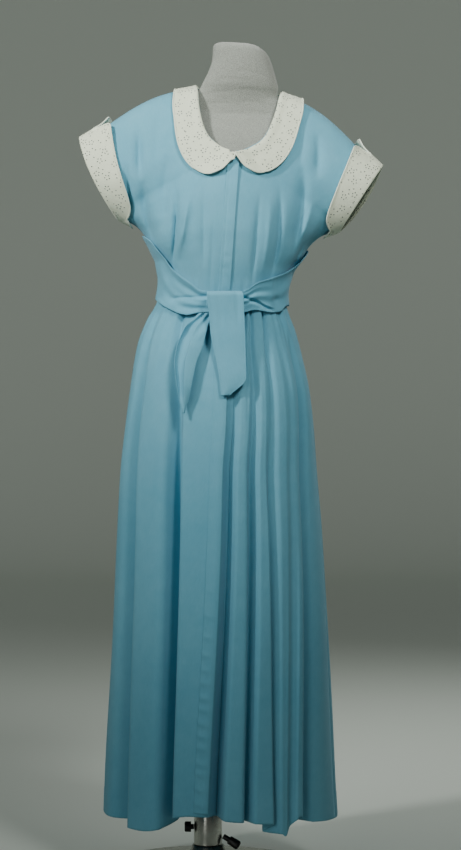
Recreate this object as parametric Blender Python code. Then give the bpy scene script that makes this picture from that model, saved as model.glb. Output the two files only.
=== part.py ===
"""Long nurse uniform dress worn on a limbless dress form that stands on a round foot.

Every cloth panel is a thin wall through a grid of points. A point comes from two smooth
parameters and a short table of sizes, so neighbouring panels share their seam lines.
The tables are in millimetres, and x grows to the viewer's right, y away from the viewer.
The form and the upper dress lean a little to the viewer's right, so their tables are
written upright and leaned afterwards. Left and right are the viewer's.
"""
import math

import bmesh
import bpy
import numpy as np
from mathutils import Vector

MM = 0.001
WALL = 1.8 * MM
SEAM_GAP = 0.3 * MM
SIDE_SEAM = 0.5
SHOULDER_SEAM = 0.8
SIDE_EDGE = 0.5 * MM
WELD_DISTANCE = 0.01 * MM
LEAN = math.radians(4.0)
LEAN_PIVOT_Z = 692.0

WAIST_POWER = 2.3

SLEEVE_CENTRE = {-1: (254.0, 1313.5), 1: (252.0, 1309.5)}
SLEEVE_HALF = {-1: 85.5, 1: 74.5}
SLEEVE_HALF_DEPTH = 46.0
SLEEVE_TILT = math.radians(29.0)
SLEEVE_BOW = 11.0
SLEEVE_FRONT_BOW = {-1: 11.0, 1: -1.0}
SHOULDER_RISE = 17.0
SHOULDER_RISE_WIDTH = 0.8
SHOULDER_RISE_LOW_V = 0.72
UNDERARM_V = 0.56
UNDERARM_BLEND_V = 0.3

CUFF_LIFT = 3.0
CUFF_FLARE = 4.5
CUFF_UNDERARM_LIFT = 3.0
CUFF_NOTCH_DEPTH = 0.8
CUFF_NOTCH_FRONT = 0.5
CUFF_NOTCH_BACK = 0.25

PLACKET_LEFT = -9.0
PLACKET_RIGHT = 14.0
PLACKET_LOW_Z = 1112.0
PLACKET_HIGH_Z = 1364.0
PLACKET_LIFT = 2.5
SKIRT_PLACKET_LIFT = 3.0
SKIRT_PLACKET_U = 2.42
SKIRT_PLACKET_WIDTH = 0.12
SKIRT_PLACKET_GROWTH = 0.06
SKIRT_PLACKET_TOP = 0.06
SKIRT_PLACKET_END = 0.993
CENTRE_SEAM_X = 4.0
CENTRE_SEAM_TOP_V = 0.62
CENTRE_SEAM_FADE = 0.1
CENTRE_SEAM_HALF_GAP = 0.4
NECK_SHIFT = 3.0
COLLAR_SHOULDER_U = 10 / 24
COLLAR_LIFT = 4.2
COLLAR_ROLL = 2.2
COLLAR_OVER_PLACKET = 4.2
COLLAR_OFFSET_X = 3.3
COLLAR_UNEVEN = 4.5

LEFT_SIDE_U = 0.22
FRONT_SEAM_U = 2.72
RIGHT_SIDE_U = 7.22
TINY = 1e-6

SASH_RIDGE = 1.6
KNOT_CENTRE = (4.0, -112.3, 1085.0)
KNOT_HALF = (33.0, 12.0, 17.0)
KNOT_GROOVE = 2.5
TAIL_BULGE = 3.0

BASE_RADIUS = 190.0
SLEEVE_TUBE_RADIUS = 27.0
SLEEVE_TUBE_TOP = 150.0
POST_RADIUS = 17.0
FORM_BOTTOM_Z = 800.0
SOCKET_BOTTOM_Z = 756.0
SOCKET_RADIUS = 34.0

BLUE = (0.36, 0.58, 0.72, 1.0)
CREAM = (0.86, 0.85, 0.80, 1.0)
JERSEY = (0.40, 0.40, 0.40, 1.0)
STEEL = (0.72, 0.72, 0.71, 1.0)
BLACK = (0.03, 0.03, 0.03, 1.0)
CLOTH_ROUGHNESS = 0.85
CREASE_ANGLE = math.radians(40.0)


class Table:
    """Rows of named sizes, read through smoothly along the first column."""

    def __init__(self, columns, rows):
        values = np.array(rows, dtype=float)
        self.along = values[:, 0]
        self.values = {name: values[:, i] for i, name in enumerate(columns)}

    def at(self, column, where):
        return through(where, self.along, self.values[column])


def through(where, knots, values):
    """Read a smooth curve that passes through the knots and never overshoots them."""
    where = np.clip(np.asarray(where, dtype=float), knots[0], knots[-1])
    step = np.diff(knots)
    rise = np.diff(values) / step
    slope = np.concatenate(([rise[0]], np.zeros(len(rise) - 1), [rise[-1]]))
    before, after = rise[:-1], rise[1:]
    level = before * after <= 0
    slope[1:-1] = np.where(level, 0.0, 2 * before * after / np.where(level, 1.0, before + after))
    index = np.clip(np.searchsorted(knots, where, side="right") - 1, 0, len(step) - 1)
    span = step[index]
    t = (where - knots[index]) / span
    start = (1 + 2 * t) * (1 - t) ** 2 * values[index] + t * (1 - t) ** 2 * span * slope[index]
    end = t * t * (3 - 2 * t) * values[index + 1] - t * t * (1 - t) * span * slope[index + 1]
    return start + end


BODICE_FRONT = Table(
    ("v", "x", "y", "z"),
    ((0.00, 0, -92, 1095), (0.10, 0, -98, 1125), (0.20, 0, -106, 1155), (0.30, 0, -113, 1192),
     (0.40, 0, -118, 1238), (0.50, 0, -116, 1295), (0.56, 0, -109, 1335), (0.62, 3, -96, 1371),
     (0.65, 18, -90.5, 1377), (0.68, 31, -85, 1385), (0.74, 51, -75, 1402), (0.80, 64, -60, 1429),
     (0.87, 73, -41, 1462), (0.94, 78, -16, 1493), (1.00, 81, 12, 1503)))
BODICE_BACK = Table(
    ("v", "x", "y", "z"),
    ((0.00, 0, 92, 1095), (0.10, 0, 93, 1130), (0.20, 0, 96, 1170), (0.30, 0, 100, 1212),
     (0.40, 0, 105, 1260), (0.50, 0, 109, 1312), (0.56, 0, 109, 1345), (0.64, 0, 106, 1385),
     (0.74, 0, 96, 1432), (0.83, 0, 80, 1474), (0.88, 40, 67, 1486), (0.94, 69, 41, 1498),
     (1.00, 81, 12, 1503)))
BODICE_SIDE = Table(
    ("v", "x", "z"),
    ((0.00, 123, 1095), (0.10, 123, 1126), (0.20, 129, 1157), (0.30, 147, 1187), (0.40, 160, 1211),
     (0.48, 180, 1229), (0.56, 211, 1239)))
BODICE_ROUND = Table(
    ("v", "power", "flat"),
    ((0.00, 2.3, 0.0), (0.30, 2.3, 0.0), (0.45, 2.2, 0.15), (0.56, 2.0, 0.6), (0.70, 2.0, 1.0),
     (1.00, 2.0, 1.0)))
FLAT_POWERS = {-1: 2.2, 1: 1.5}
SEAM_POWER = 1.8
BODICE_ROWS = (0, 0.06, 0.13, 0.21, 0.30, 0.39, 0.47, 0.53, 0.57, 0.62, 0.69, 0.76, 0.83, 0.88,
               0.94, 0.985, 1.0)
BODICE_FOLDS = (
    ("left dart", -101, 1300, -100, 1150, 9, -5.0),
    ("left dart ridge", -75, 1290, -87, 1196, 10, 3.5),
    ("right dart", 95, 1305, 88, 1145, 9, -5.0),
    ("right inner dart", 53, 1295, 51, 1140, 8, -3.0),
    ("right side trough", 132, 1362, 124, 1180, 14, -6.0),
    ("left armhole", -181, 1405, -173, 1315, 12, -6.0),
    ("right armhole", 161, 1412, 164, 1345, 12, -6.0),
    ("left side", -162, 1306, -140, 1200, 12, -5.0),
    ("right side ridge", 154, 1285, 147, 1242, 9, 4.0),
)
COLLAR_LINE = Table(
    ("u", "inner_x", "inner_z", "outer_x", "outer_z"),
    ((0.00, 0, 1476, 0, 1430), (0.04, 9, 1476, 19, 1430), (0.14, 32, 1484, 62, 1440),
     (0.29, 65, 1496, 106, 1464),
     (COLLAR_SHOULDER_U, 81, 1505, 121, 1491), (0.50, 77, 1482, 123, 1466),
     (0.60, 70, 1447, 117, 1428), (0.70, 60, 1414, 108, 1390), (0.78, 48, 1395, 93, 1359),
     (0.85, 34, 1384, 71, 1338), (0.91, 21, 1376, 45, 1328), (0.96, 10, 1371, 22, 1336),
     (1.00, 0.8, 1367, 1.6, 1358)))
CUFF_WIDTH = Table(
    ("v", "share", "drop"),
    ((UNDERARM_V, 0.0, 0.058), (0.61, 0.085, 0.03), (0.68, 0.165, 0.008), (0.80, 0.235, 0),
     (0.92, 0.265, 0), (1.00, 0.26, 0)))
SKIRT_RING = Table(
    ("drop", "z", "left", "right", "front", "back", "power"),
    ((0.000, 1094, -94.6, 150.8, -92, 92, 2.3), (0.020, 1074, -100, 156, -95, 94, 2.25),
     (0.045, 1049, -115, 166, -101, 102, 2.2), (0.095, 999, -136, 180, -120, 124, 2.1),
     (0.170, 922, -150, 196, -140, 146, 2.1), (0.250, 844, -161, 204, -152, 160, 2.05),
     (0.330, 767, -169, 209, -160, 170, 2.0), (0.445, 651, -175, 219, -170, 182, 2.0),
     (0.600, 497, -182, 229, -184, 194, 2.0), (0.755, 343, -190, 237, -196, 206, 2.0),
     (0.910, 188, -198, 245, -206, 216, 2.0), (1.000, 100, -201, 250, -212, 222, 2.0)))
FOLD_COLUMNS = ("name", "start_high", "end_high", "valley_high", "start_hem", "end_hem",
                "valley_hem", "depth_high", "depth_hem", "hem_drop")
FOLDS = (
    ("left rim", -100, -71, -62.5, -98, -65, -57.5, 12, 44, -12),
    ("broad left", -54, -32, -26.5, -50, -32, -30, 20, 58, 0),
    ("placket", -20, 4.0, 8.5, -22, -5.6, -2.4, 11, 38, -34),
    ("right of placket", 13, 18, 22, 2.4, 11.6, 13.2, 12, 32, -24),
    ("third right", 26, 29, 33.5, 17.0, 26.6, 23.0, 5, 28, -18),
    ("small crest", 38.5, 44, 48.5, 31.0, 33.5, 36.8, 3, 9, 14),
    ("fourth right", 53, 59, 64, 40, 44.0, 46.5, 15, 50, -26),
    ("right rim", 70, 99, 107, 53, 96, 104, 12, 32, -6),
    ("back one", 114, 124, 130, 111, 121, 126.5, 12, 34, 3),
    ("back two", 136, 144, 149, 133, 143, 149, 10, 28, 6),
    ("back three", 154, 166, 171, 155, 168, 174, 14, 38, 2),
    ("back four", 177, 188, 193, 181, 191, 197, 11, 30, 7),
    ("back five", 199, 210, 216, 203, 213, 219, 14, 40, 1),
    ("back six", 222, 230, 235, 225, 234, 240, 10, 30, 5),
    ("back seven", 241, 248, 253.5, 245.5, 251, 256, 11, 32, 3),
)
HIGH_DROP = 0.24
FOLD_GROWTH = Table(
    ("drop", "grown"),
    ((0, 0), (0.045, 0.12), (0.10, 0.5), (HIGH_DROP, 1.0), (0.6, 1.6), (1.0, 2.0)))
FALL_START = 0.36
CREST_END = 0.42
CREST_MIDDLE = 0.21
VALLEY_PART = 0.72
FOLD_STEPS = (0.0, 0.22, 0.42, 0.53, 0.63, 0.72, 0.81, 0.90)
SKIRT_DROPS = (0.0, 0.02, 0.05, 0.10, 0.16, 0.24, 0.34, 0.45, 0.57, 0.70, 0.85, 1.0)
SASH_LINE = Table(
    ("angle", "low_z", "high_z", "lift"),
    ((-180, 1088, 1202, 3.7), (-110, 1090, 1206, 3.7), (-85, 1088, 1207, 3.7),
     (-68, 1081, 1198, 3.7), (-47, 1069, 1146, 3.9), (-25, 1058, 1119, 4.8),
     (-14, 1064, 1106, 5.0), (14, 1070, 1110, 5.0), (26, 1077, 1128, 4.8), (40, 1075, 1139, 4.1),
     (56, 1079, 1151, 3.9), (70, 1091, 1164, 3.7), (86, 1094, 1190, 3.7), (104, 1094, 1205, 3.7),
     (180, 1088, 1202, 3.7)))
TAIL_COLUMNS = ("step", "z", "left", "right", "near")
TAIL_RIGHT = Table(
    TAIL_COLUMNS,
    ((0, 1106, 3, 62, -115.4), (1, 1104, 0, 65, -122.4), (2, 1096, -1, 68, -126.6),
     (3, 1072, 2, 69, -126.8), (4, 1026, 6, 71, -130.5), (5, 991, 13, 72, -135),
     (6, 943, 22, 73, -145), (7, 909, 25, 42, -150)))
TAIL_LEFT = Table(
    TAIL_COLUMNS,
    ((0, 1065, -16, 8, -104.0), (1, 1055, -26, 5, -105.8), (2, 1040, -40, 1, -112),
     (3, 1000, -57, -9, -128), (4, 972, -61, -20, -136), (5, 944, -59, -26, -143),
     (6, 906, -53, -33, -149), (7, 876, -46, -42, -152)))
WAIST_SHAPE = Table(
    ("z", "half_width", "front", "back"),
    ((1045, 137, -102, 104), (1060, 132, -98.5, 101), (1075, 127.5, -95, 96.5), (1095, 124, -92.6, 92.6),
     (1126, 124, -99, 93), (1157, 130, -107, 96), (1175, 141, -111, 99), (1190, 149, -114, 101),
     (1205, 157, -116.5, 103), (1222, 165, -118, 105)))
FORM_RING = Table(
    ("z", "half_width", "front", "back", "power", "shift"),
    ((800, 118, -76, 92, 2.2, 0), (806, 124, -82, 98, 2.2, 0), (850, 132, -92, 104, 2.2, 0),
     (900, 134, -96, 106, 2.2, 0), (1000, 118, -86, 92, 2.2, 0), (1095, 100, -74, 72, 2.3, 0),
     (1160, 108, -84, 80, 2.3, 0), (1240, 130, -98, 90, 2.3, 0), (1310, 146, -94, 94, 2.2, 0),
     (1370, 158, -76, 92, 2.0, 0), (1415, 164, -53, 82, 2.0, 0), (1441, 160, -34, 70, 2.0, 0),
     (1458.5, 142, -24.5, 63, 2.0, 0), (1474, 112, -22.5, 59, 2.0, 0), (1487, 84, -24, 56, 2.0, 0),
     (1500, 75, -28, 53, 2.0, 3), (1510, 73, -32, 54, 2.0, 5), (1528, 66.5, -34, 56, 2.0, 6.5),
     (1548, 60, -34, 57, 2.0, 6), (1566, 55, -33, 56, 2.1, 3), (1578, 51, -31, 53, 2.2, -1.5),
     (1587, 43, -25, 45, 2.2, -6.5), (1591, 33, -15, 35, 2.2, -7)))


def lean(x, y, z):
    """Turn upright points in millimetres into leaned points in metres."""
    up = z - LEAN_PIVOT_Z
    cos, sin = math.cos(LEAN), math.sin(LEAN)
    return np.stack((x * cos + up * sin, y, up * cos - x * sin + LEAN_PIVOT_Z), axis=-1) * MM


def upright(x, y, z):
    """Turn points in millimetres into metres with no lean."""
    return np.stack(np.broadcast_arrays(x, y, z), axis=-1) * MM


def power_of(value, power):
    """Raise a value to a power and keep its sign."""
    return np.sign(value) * np.abs(value) ** power


def smooth_step(t):
    t = np.clip(t, 0.0, 1.0)
    return t * t * (3 - 2 * t)


def outer_edge(v, hand, facing):
    """Side seam up to the underarm, then the loop round the sleeve's end to its top."""
    v = np.asarray(v, dtype=float)
    hand = np.broadcast_to(hand, np.broadcast(v, hand).shape)
    centre_x = np.where(hand < 0, SLEEVE_CENTRE[-1][0], SLEEVE_CENTRE[1][0])
    centre_z = np.where(hand < 0, SLEEVE_CENTRE[-1][1], SLEEVE_CENTRE[1][1])
    half = np.where(hand < 0, SLEEVE_HALF[-1], SLEEVE_HALF[1])
    front_bow = np.where(hand < 0, SLEEVE_FRONT_BOW[-1], SLEEVE_FRONT_BOW[1])
    bow = front_bow if facing < 0 else SLEEVE_BOW
    turn = np.clip(math.pi * (1 - v) / (1 - UNDERARM_V), 0, math.pi)
    along = np.cos(turn) * half
    loop_x = centre_x + along * math.sin(SLEEVE_TILT) + bow * np.sin(turn) ** 2
    loop_z = centre_z + along * math.cos(SLEEVE_TILT)
    loop_y = facing * SLEEVE_HALF_DEPTH * np.sin(turn)
    blend = smooth_step((v - UNDERARM_BLEND_V) / (UNDERARM_V - UNDERARM_BLEND_V))
    low_x = centre_x - half * math.sin(SLEEVE_TILT) - BODICE_SIDE.at("x", UNDERARM_V)
    low_z = centre_z - half * math.cos(SLEEVE_TILT) - BODICE_SIDE.at("z", UNDERARM_V)
    side = v < UNDERARM_V
    return (np.where(side, BODICE_SIDE.at("x", v) + low_x * blend, loop_x),
            np.where(side, 0.0, loop_y),
            np.where(side, BODICE_SIDE.at("z", v) + low_z * blend, loop_z))


def neck_shift(v):
    """How far to the right of the middle the neckline sits."""
    return NECK_SHIFT * smooth_step((v - CENTRE_SEAM_TOP_V) / 0.1)


def shoulder_rise(width, v):
    """How far the shoulder's rounded top stands above straight rows of the patch."""
    hump = np.sin(math.pi * np.clip(width / SHOULDER_RISE_WIDTH, 0, 1))
    return SHOULDER_RISE * hump * smooth_step((v - SHOULDER_RISE_LOW_V) / (1 - SHOULDER_RISE_LOW_V))


def fold_height(x, z, folds):
    """Height of the named folds at points seen from the front, troughs below zero."""
    height = np.zeros(np.broadcast(x, z).shape)
    for _, x0, z0, x1, z1, half_width, rise in folds:
        length_2 = (x1 - x0) ** 2 + (z1 - z0) ** 2
        t = ((x - x0) * (x1 - x0) + (z - z0) * (z1 - z0)) / length_2
        away_2 = (x - x0 - (x1 - x0) * t) ** 2 + (z - z0 - (z1 - z0) * t) ** 2
        ends = smooth_step(t / 0.25 + 0.5) * smooth_step((1 - t) / 0.25 + 0.5)
        height += rise * ends * np.exp(-away_2 / half_width ** 2)
    return height


def bodice(t, v, hand, facing):
    """Upright bodice point: t runs from centre to side, v from waist to shoulder seam."""
    inner = BODICE_FRONT if facing < 0 else BODICE_BACK
    outer_x, outer_y, outer_z = outer_edge(v, hand, facing)
    inner_x, inner_y, inner_z = (inner.at(axis, v) for axis in "xyz")
    inner_x = inner_x + hand * neck_shift(v)
    power = BODICE_ROUND.at("power", v)
    flat = BODICE_ROUND.at("flat", v)
    angle = np.asarray(t) * math.pi / 2
    width = np.sin(angle) ** (2 / power)
    hollow = SEAM_POWER + (FLAT_POWERS[facing] - SEAM_POWER) * smooth_step((1 - v) / 0.15)
    wrap = (1 - flat) * (1 - np.cos(angle) ** (2 / power)) + flat * width ** hollow
    x = hand * (inner_x + (outer_x - inner_x) * width)
    z = inner_z + (outer_z - inner_z) * width + shoulder_rise(width, v)
    y = inner_y + (outer_y - inner_y) * wrap
    if facing < 0:
        y = y - fold_height(x, z, BODICE_FOLDS) * smooth_step((1 - t) * 4)
    return np.stack(np.broadcast_arrays(x, y, z), axis=-1)


def straight_place(x, z, hand, facing):
    """Find the width share and v of a point on the patch's straight rows, by halving."""
    inner = BODICE_FRONT if facing < 0 else BODICE_BACK
    x = hand * np.asarray(x, dtype=float)
    low = np.zeros(x.shape)
    high = np.ones(x.shape)
    for _ in range(36):
        v = (low + high) / 2
        outer_x, _, outer_z = outer_edge(v, hand, facing)
        row_x, row_z = inner.at("x", v) + hand * neck_shift(v), inner.at("z", v)
        above = (outer_x - row_x) * (z - row_z) - (outer_z - row_z) * (x - row_x) > 0
        low = np.where(above, v, low)
        high = np.where(above, high, v)
    width = ((x - row_x) * (outer_x - row_x) + (z - row_z) * (outer_z - row_z))
    return np.clip(width / ((outer_x - row_x) ** 2 + (outer_z - row_z) ** 2), 0, 1), v


def bodice_place(x, z, hand, facing):
    """Find the t and v of the bodice point that is seen at x and z."""
    width, v = straight_place(x, z, hand, facing)
    for _ in range(6):
        width, v = straight_place(x, z - shoulder_rise(width, v), hand, facing)
    return part_of(width, v), v


def part_of(width, v):
    """The t at which a row of the bodice has gone the given share of its width."""
    return np.arcsin(width ** (BODICE_ROUND.at("power", v) / 2)) * 2 / math.pi


def on_bodice(x, z, hand, facing, lift):
    """Upright point that is seen at x and z, moved out from the bodice by the lift."""
    t, v = bodice_place(x, z, hand, facing)
    t = np.clip(t, 0.004, 0.996)
    v = np.clip(v, 0.004, 0.996)
    step = 0.004
    across = bodice(t + step, v, hand, facing) - bodice(t - step, v, hand, facing)
    along = bodice(t, v + step, hand, facing) - bodice(t, v - step, hand, facing)
    normal = np.cross(across, along) * np.asarray(-hand * facing)[..., None]
    normal /= np.linalg.norm(normal, axis=-1, keepdims=True)
    return bodice(t, v, hand, facing) + normal * np.asarray(lift)[..., None]


def fold_track(column):
    """One column of the fold table, with the first fold again at the end."""
    values = [row[FOLD_COLUMNS.index(column)] for row in FOLDS]
    return np.array(values + [values[0]], dtype=float)


def split_folds(u):
    """Number of the fold that a skirt point is in, and how far through it the point is."""
    index = np.clip(np.floor(u).astype(int), 0, len(FOLDS) - 1)
    return index, u - index


def skirt_angle(u, drop):
    """Direction in degrees of a skirt point, where u counts the folds round the waist."""
    index, part = split_folds(u)
    share = np.clip((drop - HIGH_DROP) / (1 - HIGH_DROP), 0, 1)

    def mark(name, fold):
        high, hem = fold_track(name + "_high")[fold], fold_track(name + "_hem")[fold]
        return high * (1 - share) + hem * share

    first, last, deep = mark("start", index), mark("end", index), mark("valley", index)
    following = mark("start", index + 1) + 360.0 * (index + 1 == len(FOLDS))
    crest = first + (last - first) * part / CREST_END
    falling = last + (deep - last) * (part - CREST_END) / (VALLEY_PART - CREST_END)
    rising = deep + (following - deep) * (part - VALLEY_PART) / (1 - VALLEY_PART)
    return np.where(part < CREST_END, crest, np.where(part < VALLEY_PART, falling, rising))


def skirt_dip(u, drop):
    """How far in from the crests a skirt point lies, in millimetres."""
    index, part = split_folds(u)
    high, hem = fold_track("depth_high")[index], fold_track("depth_hem")[index]
    grown = FOLD_GROWTH.at("grown", drop)
    depth = high * np.clip(grown, 0, 1) + (hem - high) * np.clip(grown - 1, 0, 1)
    fall = smooth_step((part - FALL_START) / (VALLEY_PART - FALL_START))
    rise = smooth_step((1 - part) / (1 - VALLEY_PART))
    return depth * np.where(part < VALLEY_PART, fall, rise)


def hem_drop(u):
    """How far the hem hangs below its ring, smooth from one fold's crest to the next."""
    crests = np.arange(-1, len(FOLDS) + 1) + CREST_MIDDLE
    drops = fold_track("hem_drop")
    return through(u, crests, np.concatenate((drops[-2:-1], drops)))


def skirt(u, drop, lift=0.0):
    """Skirt point in millimetres: u counts folds round, drop runs from waist to hem."""
    u, drop = np.broadcast_arrays(np.asarray(u, dtype=float), np.asarray(drop, dtype=float))
    angle = np.radians(skirt_angle(u, drop))
    left, right = SKIRT_RING.at("left", drop), SKIRT_RING.at("right", drop)
    front, back = SKIRT_RING.at("front", drop), SKIRT_RING.at("back", drop)
    power = 2 / SKIRT_RING.at("power", drop)
    centre, half = (left + right) / 2, (right - left) / 2
    depth = np.where(np.cos(angle) > 0, -front, back)
    mean = (half + depth) / 2
    scale = 1 - (skirt_dip(u, drop) - lift) / mean
    x = half * power_of(np.sin(angle), power) * scale
    y = -depth * power_of(np.cos(angle), power) * scale
    tilt = math.tan(LEAN) * (1 - smooth_step(drop / 0.25))
    hem = hem_drop(u) * smooth_step((drop - 0.3) / 0.7)
    return x + centre, y, SKIRT_RING.at("z", drop) - x * tilt - hem


def principled(name, colour, roughness, metallic=0.0):
    """Plain material with one Principled shader."""
    material = bpy.data.materials.new(name)
    material.use_nodes = True
    shader = material.node_tree.nodes["Principled BSDF"]
    shader.inputs["Base Color"].default_value = colour
    shader.inputs["Roughness"].default_value = roughness
    shader.inputs["Metallic"].default_value = metallic
    return material


def add_object(name, vertices, faces, material):
    """Make one named smooth object, with all its faces turned out."""
    mesh = bpy.data.meshes.new(name)
    mesh.from_pydata([tuple(map(float, vertex)) for vertex in vertices], [], faces)
    mesh.materials.append(material)
    mesh.shade_smooth()
    thing = bpy.data.objects.new(name, mesh)
    bpy.context.scene.collection.objects.link(thing)
    return thing


def grid_faces(rows, columns, ring):
    """Quads of a grid whose columns may close into a ring."""
    last = columns if ring else columns - 1
    faces = []
    for row in range(rows - 1):
        for column in range(last):
            after = (column + 1) % columns
            faces.append((row * columns + column, row * columns + after,
                          (row + 1) * columns + after, (row + 1) * columns + column))
    return faces


def cloth(name, points, material, ring=False, flip=False):
    """Cloth wall whose outer face goes through the grid of points."""
    rows, columns = points.shape[:2]
    faces = grid_faces(rows, columns, ring)
    if flip:
        faces = [face[::-1] for face in faces]
    thing = add_object(name, points.reshape(-1, 3), faces, material)
    wall = thing.modifiers.new("wall", "SOLIDIFY")
    wall.thickness = WALL
    wall.offset = -1
    return thing


def cloth_pair(name, halves, material):
    """Cloth wall in one piece, from a left and a right grid that share their middle points."""
    faces = []
    for half, points in enumerate(halves):
        rows, columns = points.shape[:2]
        for face in grid_faces(rows, columns, False):
            shifted = tuple(corner + half * rows * columns for corner in face)
            faces.append(shifted if half == 0 else shifted[::-1])
    vertices = np.concatenate([points.reshape(-1, 3) for points in halves])
    thing = add_object(name, vertices, faces, material)
    shape = bmesh.new()
    shape.from_mesh(thing.data)
    bmesh.ops.remove_doubles(shape, verts=shape.verts, dist=WELD_DISTANCE)
    shape.to_mesh(thing.data)
    shape.free()
    wall = thing.modifiers.new("wall", "SOLIDIFY")
    wall.thickness = WALL
    wall.offset = -1
    return thing


def closed(name, rings, material):
    """Solid through a stack of rings from bottom to top, with a flat cap at each end."""
    rows, columns = rings.shape[:2]
    faces = grid_faces(rows, columns, True)
    faces.append(tuple(range(columns))[::-1])
    faces.append(tuple(range((rows - 1) * columns, rows * columns)))
    thing = add_object(name, rings.reshape(-1, 3), faces, material)
    thing.data.set_sharp_from_angle(angle=CREASE_ANGLE)
    return thing


def turned(name, profile, material, centre=(0.0, 0.0), sides=40):
    """Solid turned about a vertical axis from radius and height pairs, bottom to top."""
    turn = np.linspace(0, 2 * math.pi, sides, endpoint=False)
    rings = [upright(centre[0] + radius * np.cos(turn), centre[1] + radius * np.sin(turn), height)
             for radius, height in profile]
    return closed(name, np.array(rings), material)


def rod(name, start, end, radii, material, sides=14):
    """Turned solid from start to end, with radii at even steps between them."""
    start, end = Vector(start) * MM, Vector(end) * MM
    turn = np.linspace(0, 2 * math.pi, sides, endpoint=False)
    quaternion = (end - start).to_track_quat("Z", "Y")
    rings = []
    for share, radius in radii:
        ring = []
        for angle in turn:
            offset = Vector((math.cos(angle), math.sin(angle), 0)) * radius * MM
            ring.append(start.lerp(end, share) + quaternion @ offset)
        rings.append([tuple(point) for point in ring])
    return closed(name, np.array(rings), material)


def bodice_panels(blue):
    """Two fronts that meet under the placket and one back, each with its cut-on sleeves."""
    across = np.linspace(0, 1, 12)
    up = np.array(BODICE_ROWS)
    t, v = np.meshgrid(across, up)
    edge_gap = np.where(v > 0.99, SHOULDER_SEAM, SIDE_SEAM * (t > 0.99))
    for name, hand in (("bodice_front_left", -1), ("bodice_front_right", 1)):
        points = bodice(t, v, hand, -1)
        lap = smooth_step((CENTRE_SEAM_TOP_V - v) / CENTRE_SEAM_FADE)
        seam = CENTRE_SEAM_X * lap + hand * CENTRE_SEAM_HALF_GAP
        points[..., 0] += seam * (1 - t) ** 2
        points[..., 1] -= edge_gap
        cloth(name, lean(*np.moveaxis(points, -1, 0)), blue, flip=hand < 0)
    halves = []
    for hand in (-1, 1):
        points = bodice(t, v, hand, 1)
        points[..., 1] += edge_gap
        halves.append(lean(*np.moveaxis(points, -1, 0)))
    cloth_pair("bodice_back", halves, blue)


def collar(cream):
    """Round flat collar in one piece from front to front, lying on the bodice."""
    beside = COLLAR_SHOULDER_U + np.array([-0.016, 0.016])
    turns = np.sort(np.concatenate((np.linspace(-1, 1, 49), beside, -beside)))
    widths = np.array([0, 0.3, 0.65, 1.0])
    u, w = np.meshgrid(turns, widths)
    hand = np.where(u < 0, -1.0, 1.0)
    size = np.abs(u)
    front_share = smooth_step((size - COLLAR_SHOULDER_U) / 0.4)
    x = COLLAR_LINE.at("inner_x", size) * (1 - w) + COLLAR_LINE.at("outer_x", size) * w
    z = COLLAR_LINE.at("inner_z", size) * (1 - w) + COLLAR_LINE.at("outer_z", size) * w
    x = hand * x + COLLAR_OFFSET_X
    z = z + hand * COLLAR_UNEVEN * front_share * w
    lift = COLLAR_LIFT + COLLAR_ROLL * w + COLLAR_OVER_PLACKET * smooth_step((size - 0.88) * 12)
    side = np.where(x < NECK_SHIFT * (1 - front_share), -1.0, 1.0)
    front = on_bodice(x, z, side, -1, lift)
    back = on_bodice(x, z, side, 1, lift)
    points = np.where((size > COLLAR_SHOULDER_U - 0.01)[..., None], front, back)
    cloth("collar", lean(*np.moveaxis(points, -1, 0)), cream)


def cuff_point(angle, w, hand, lift):
    """Cuff point over the sleeve: angle runs round from the top, w from the fold to the edge."""
    facing = np.where(angle < math.pi, -1, 1)
    round_half = np.where(angle < math.pi, angle, 2 * math.pi - angle)
    v = 1 - (1 - UNDERARM_V) * round_half / math.pi
    share, drop = CUFF_WIDTH.at("share", v), CUFF_WIDTH.at("drop", v)
    v = v - w * drop
    t = part_of(1 - w * share, v)
    under = np.where((facing < 0)[..., None], bodice(t, v, hand, -1), bodice(t, v, hand, 1))
    outward = np.stack((hand * np.cos(angle) * math.sin(SLEEVE_TILT), -np.sin(angle),
                        np.cos(angle) * math.cos(SLEEVE_TILT)), axis=-1)
    return under + outward * lift[..., None]


def cuff(name, hand, cream):
    """Turned-back band round the sleeve's end, with a notch at its top."""
    turn = np.linspace(0, 2 * math.pi, 33)[:-1]
    widths = np.array([0, 0.08, 0.35, 0.7, 1.0])
    angle, w = np.meshgrid(turn, widths)
    front = smooth_step(1 - angle / CUFF_NOTCH_FRONT)
    back = smooth_step(1 - (2 * math.pi - angle) / CUFF_NOTCH_BACK)
    w = w * (1 - CUFF_NOTCH_DEPTH * np.maximum(front, back))
    under = smooth_step((1 - np.cos(angle)) * 2 - 3)
    lift = CUFF_LIFT + CUFF_FLARE * np.sqrt(w) + CUFF_UNDERARM_LIFT * under * np.sqrt(w)
    points = cuff_point(angle, w, hand, lift)
    cloth(name, lean(*np.moveaxis(points, -1, 0)), cream, ring=True, flip=hand > 0)


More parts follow.
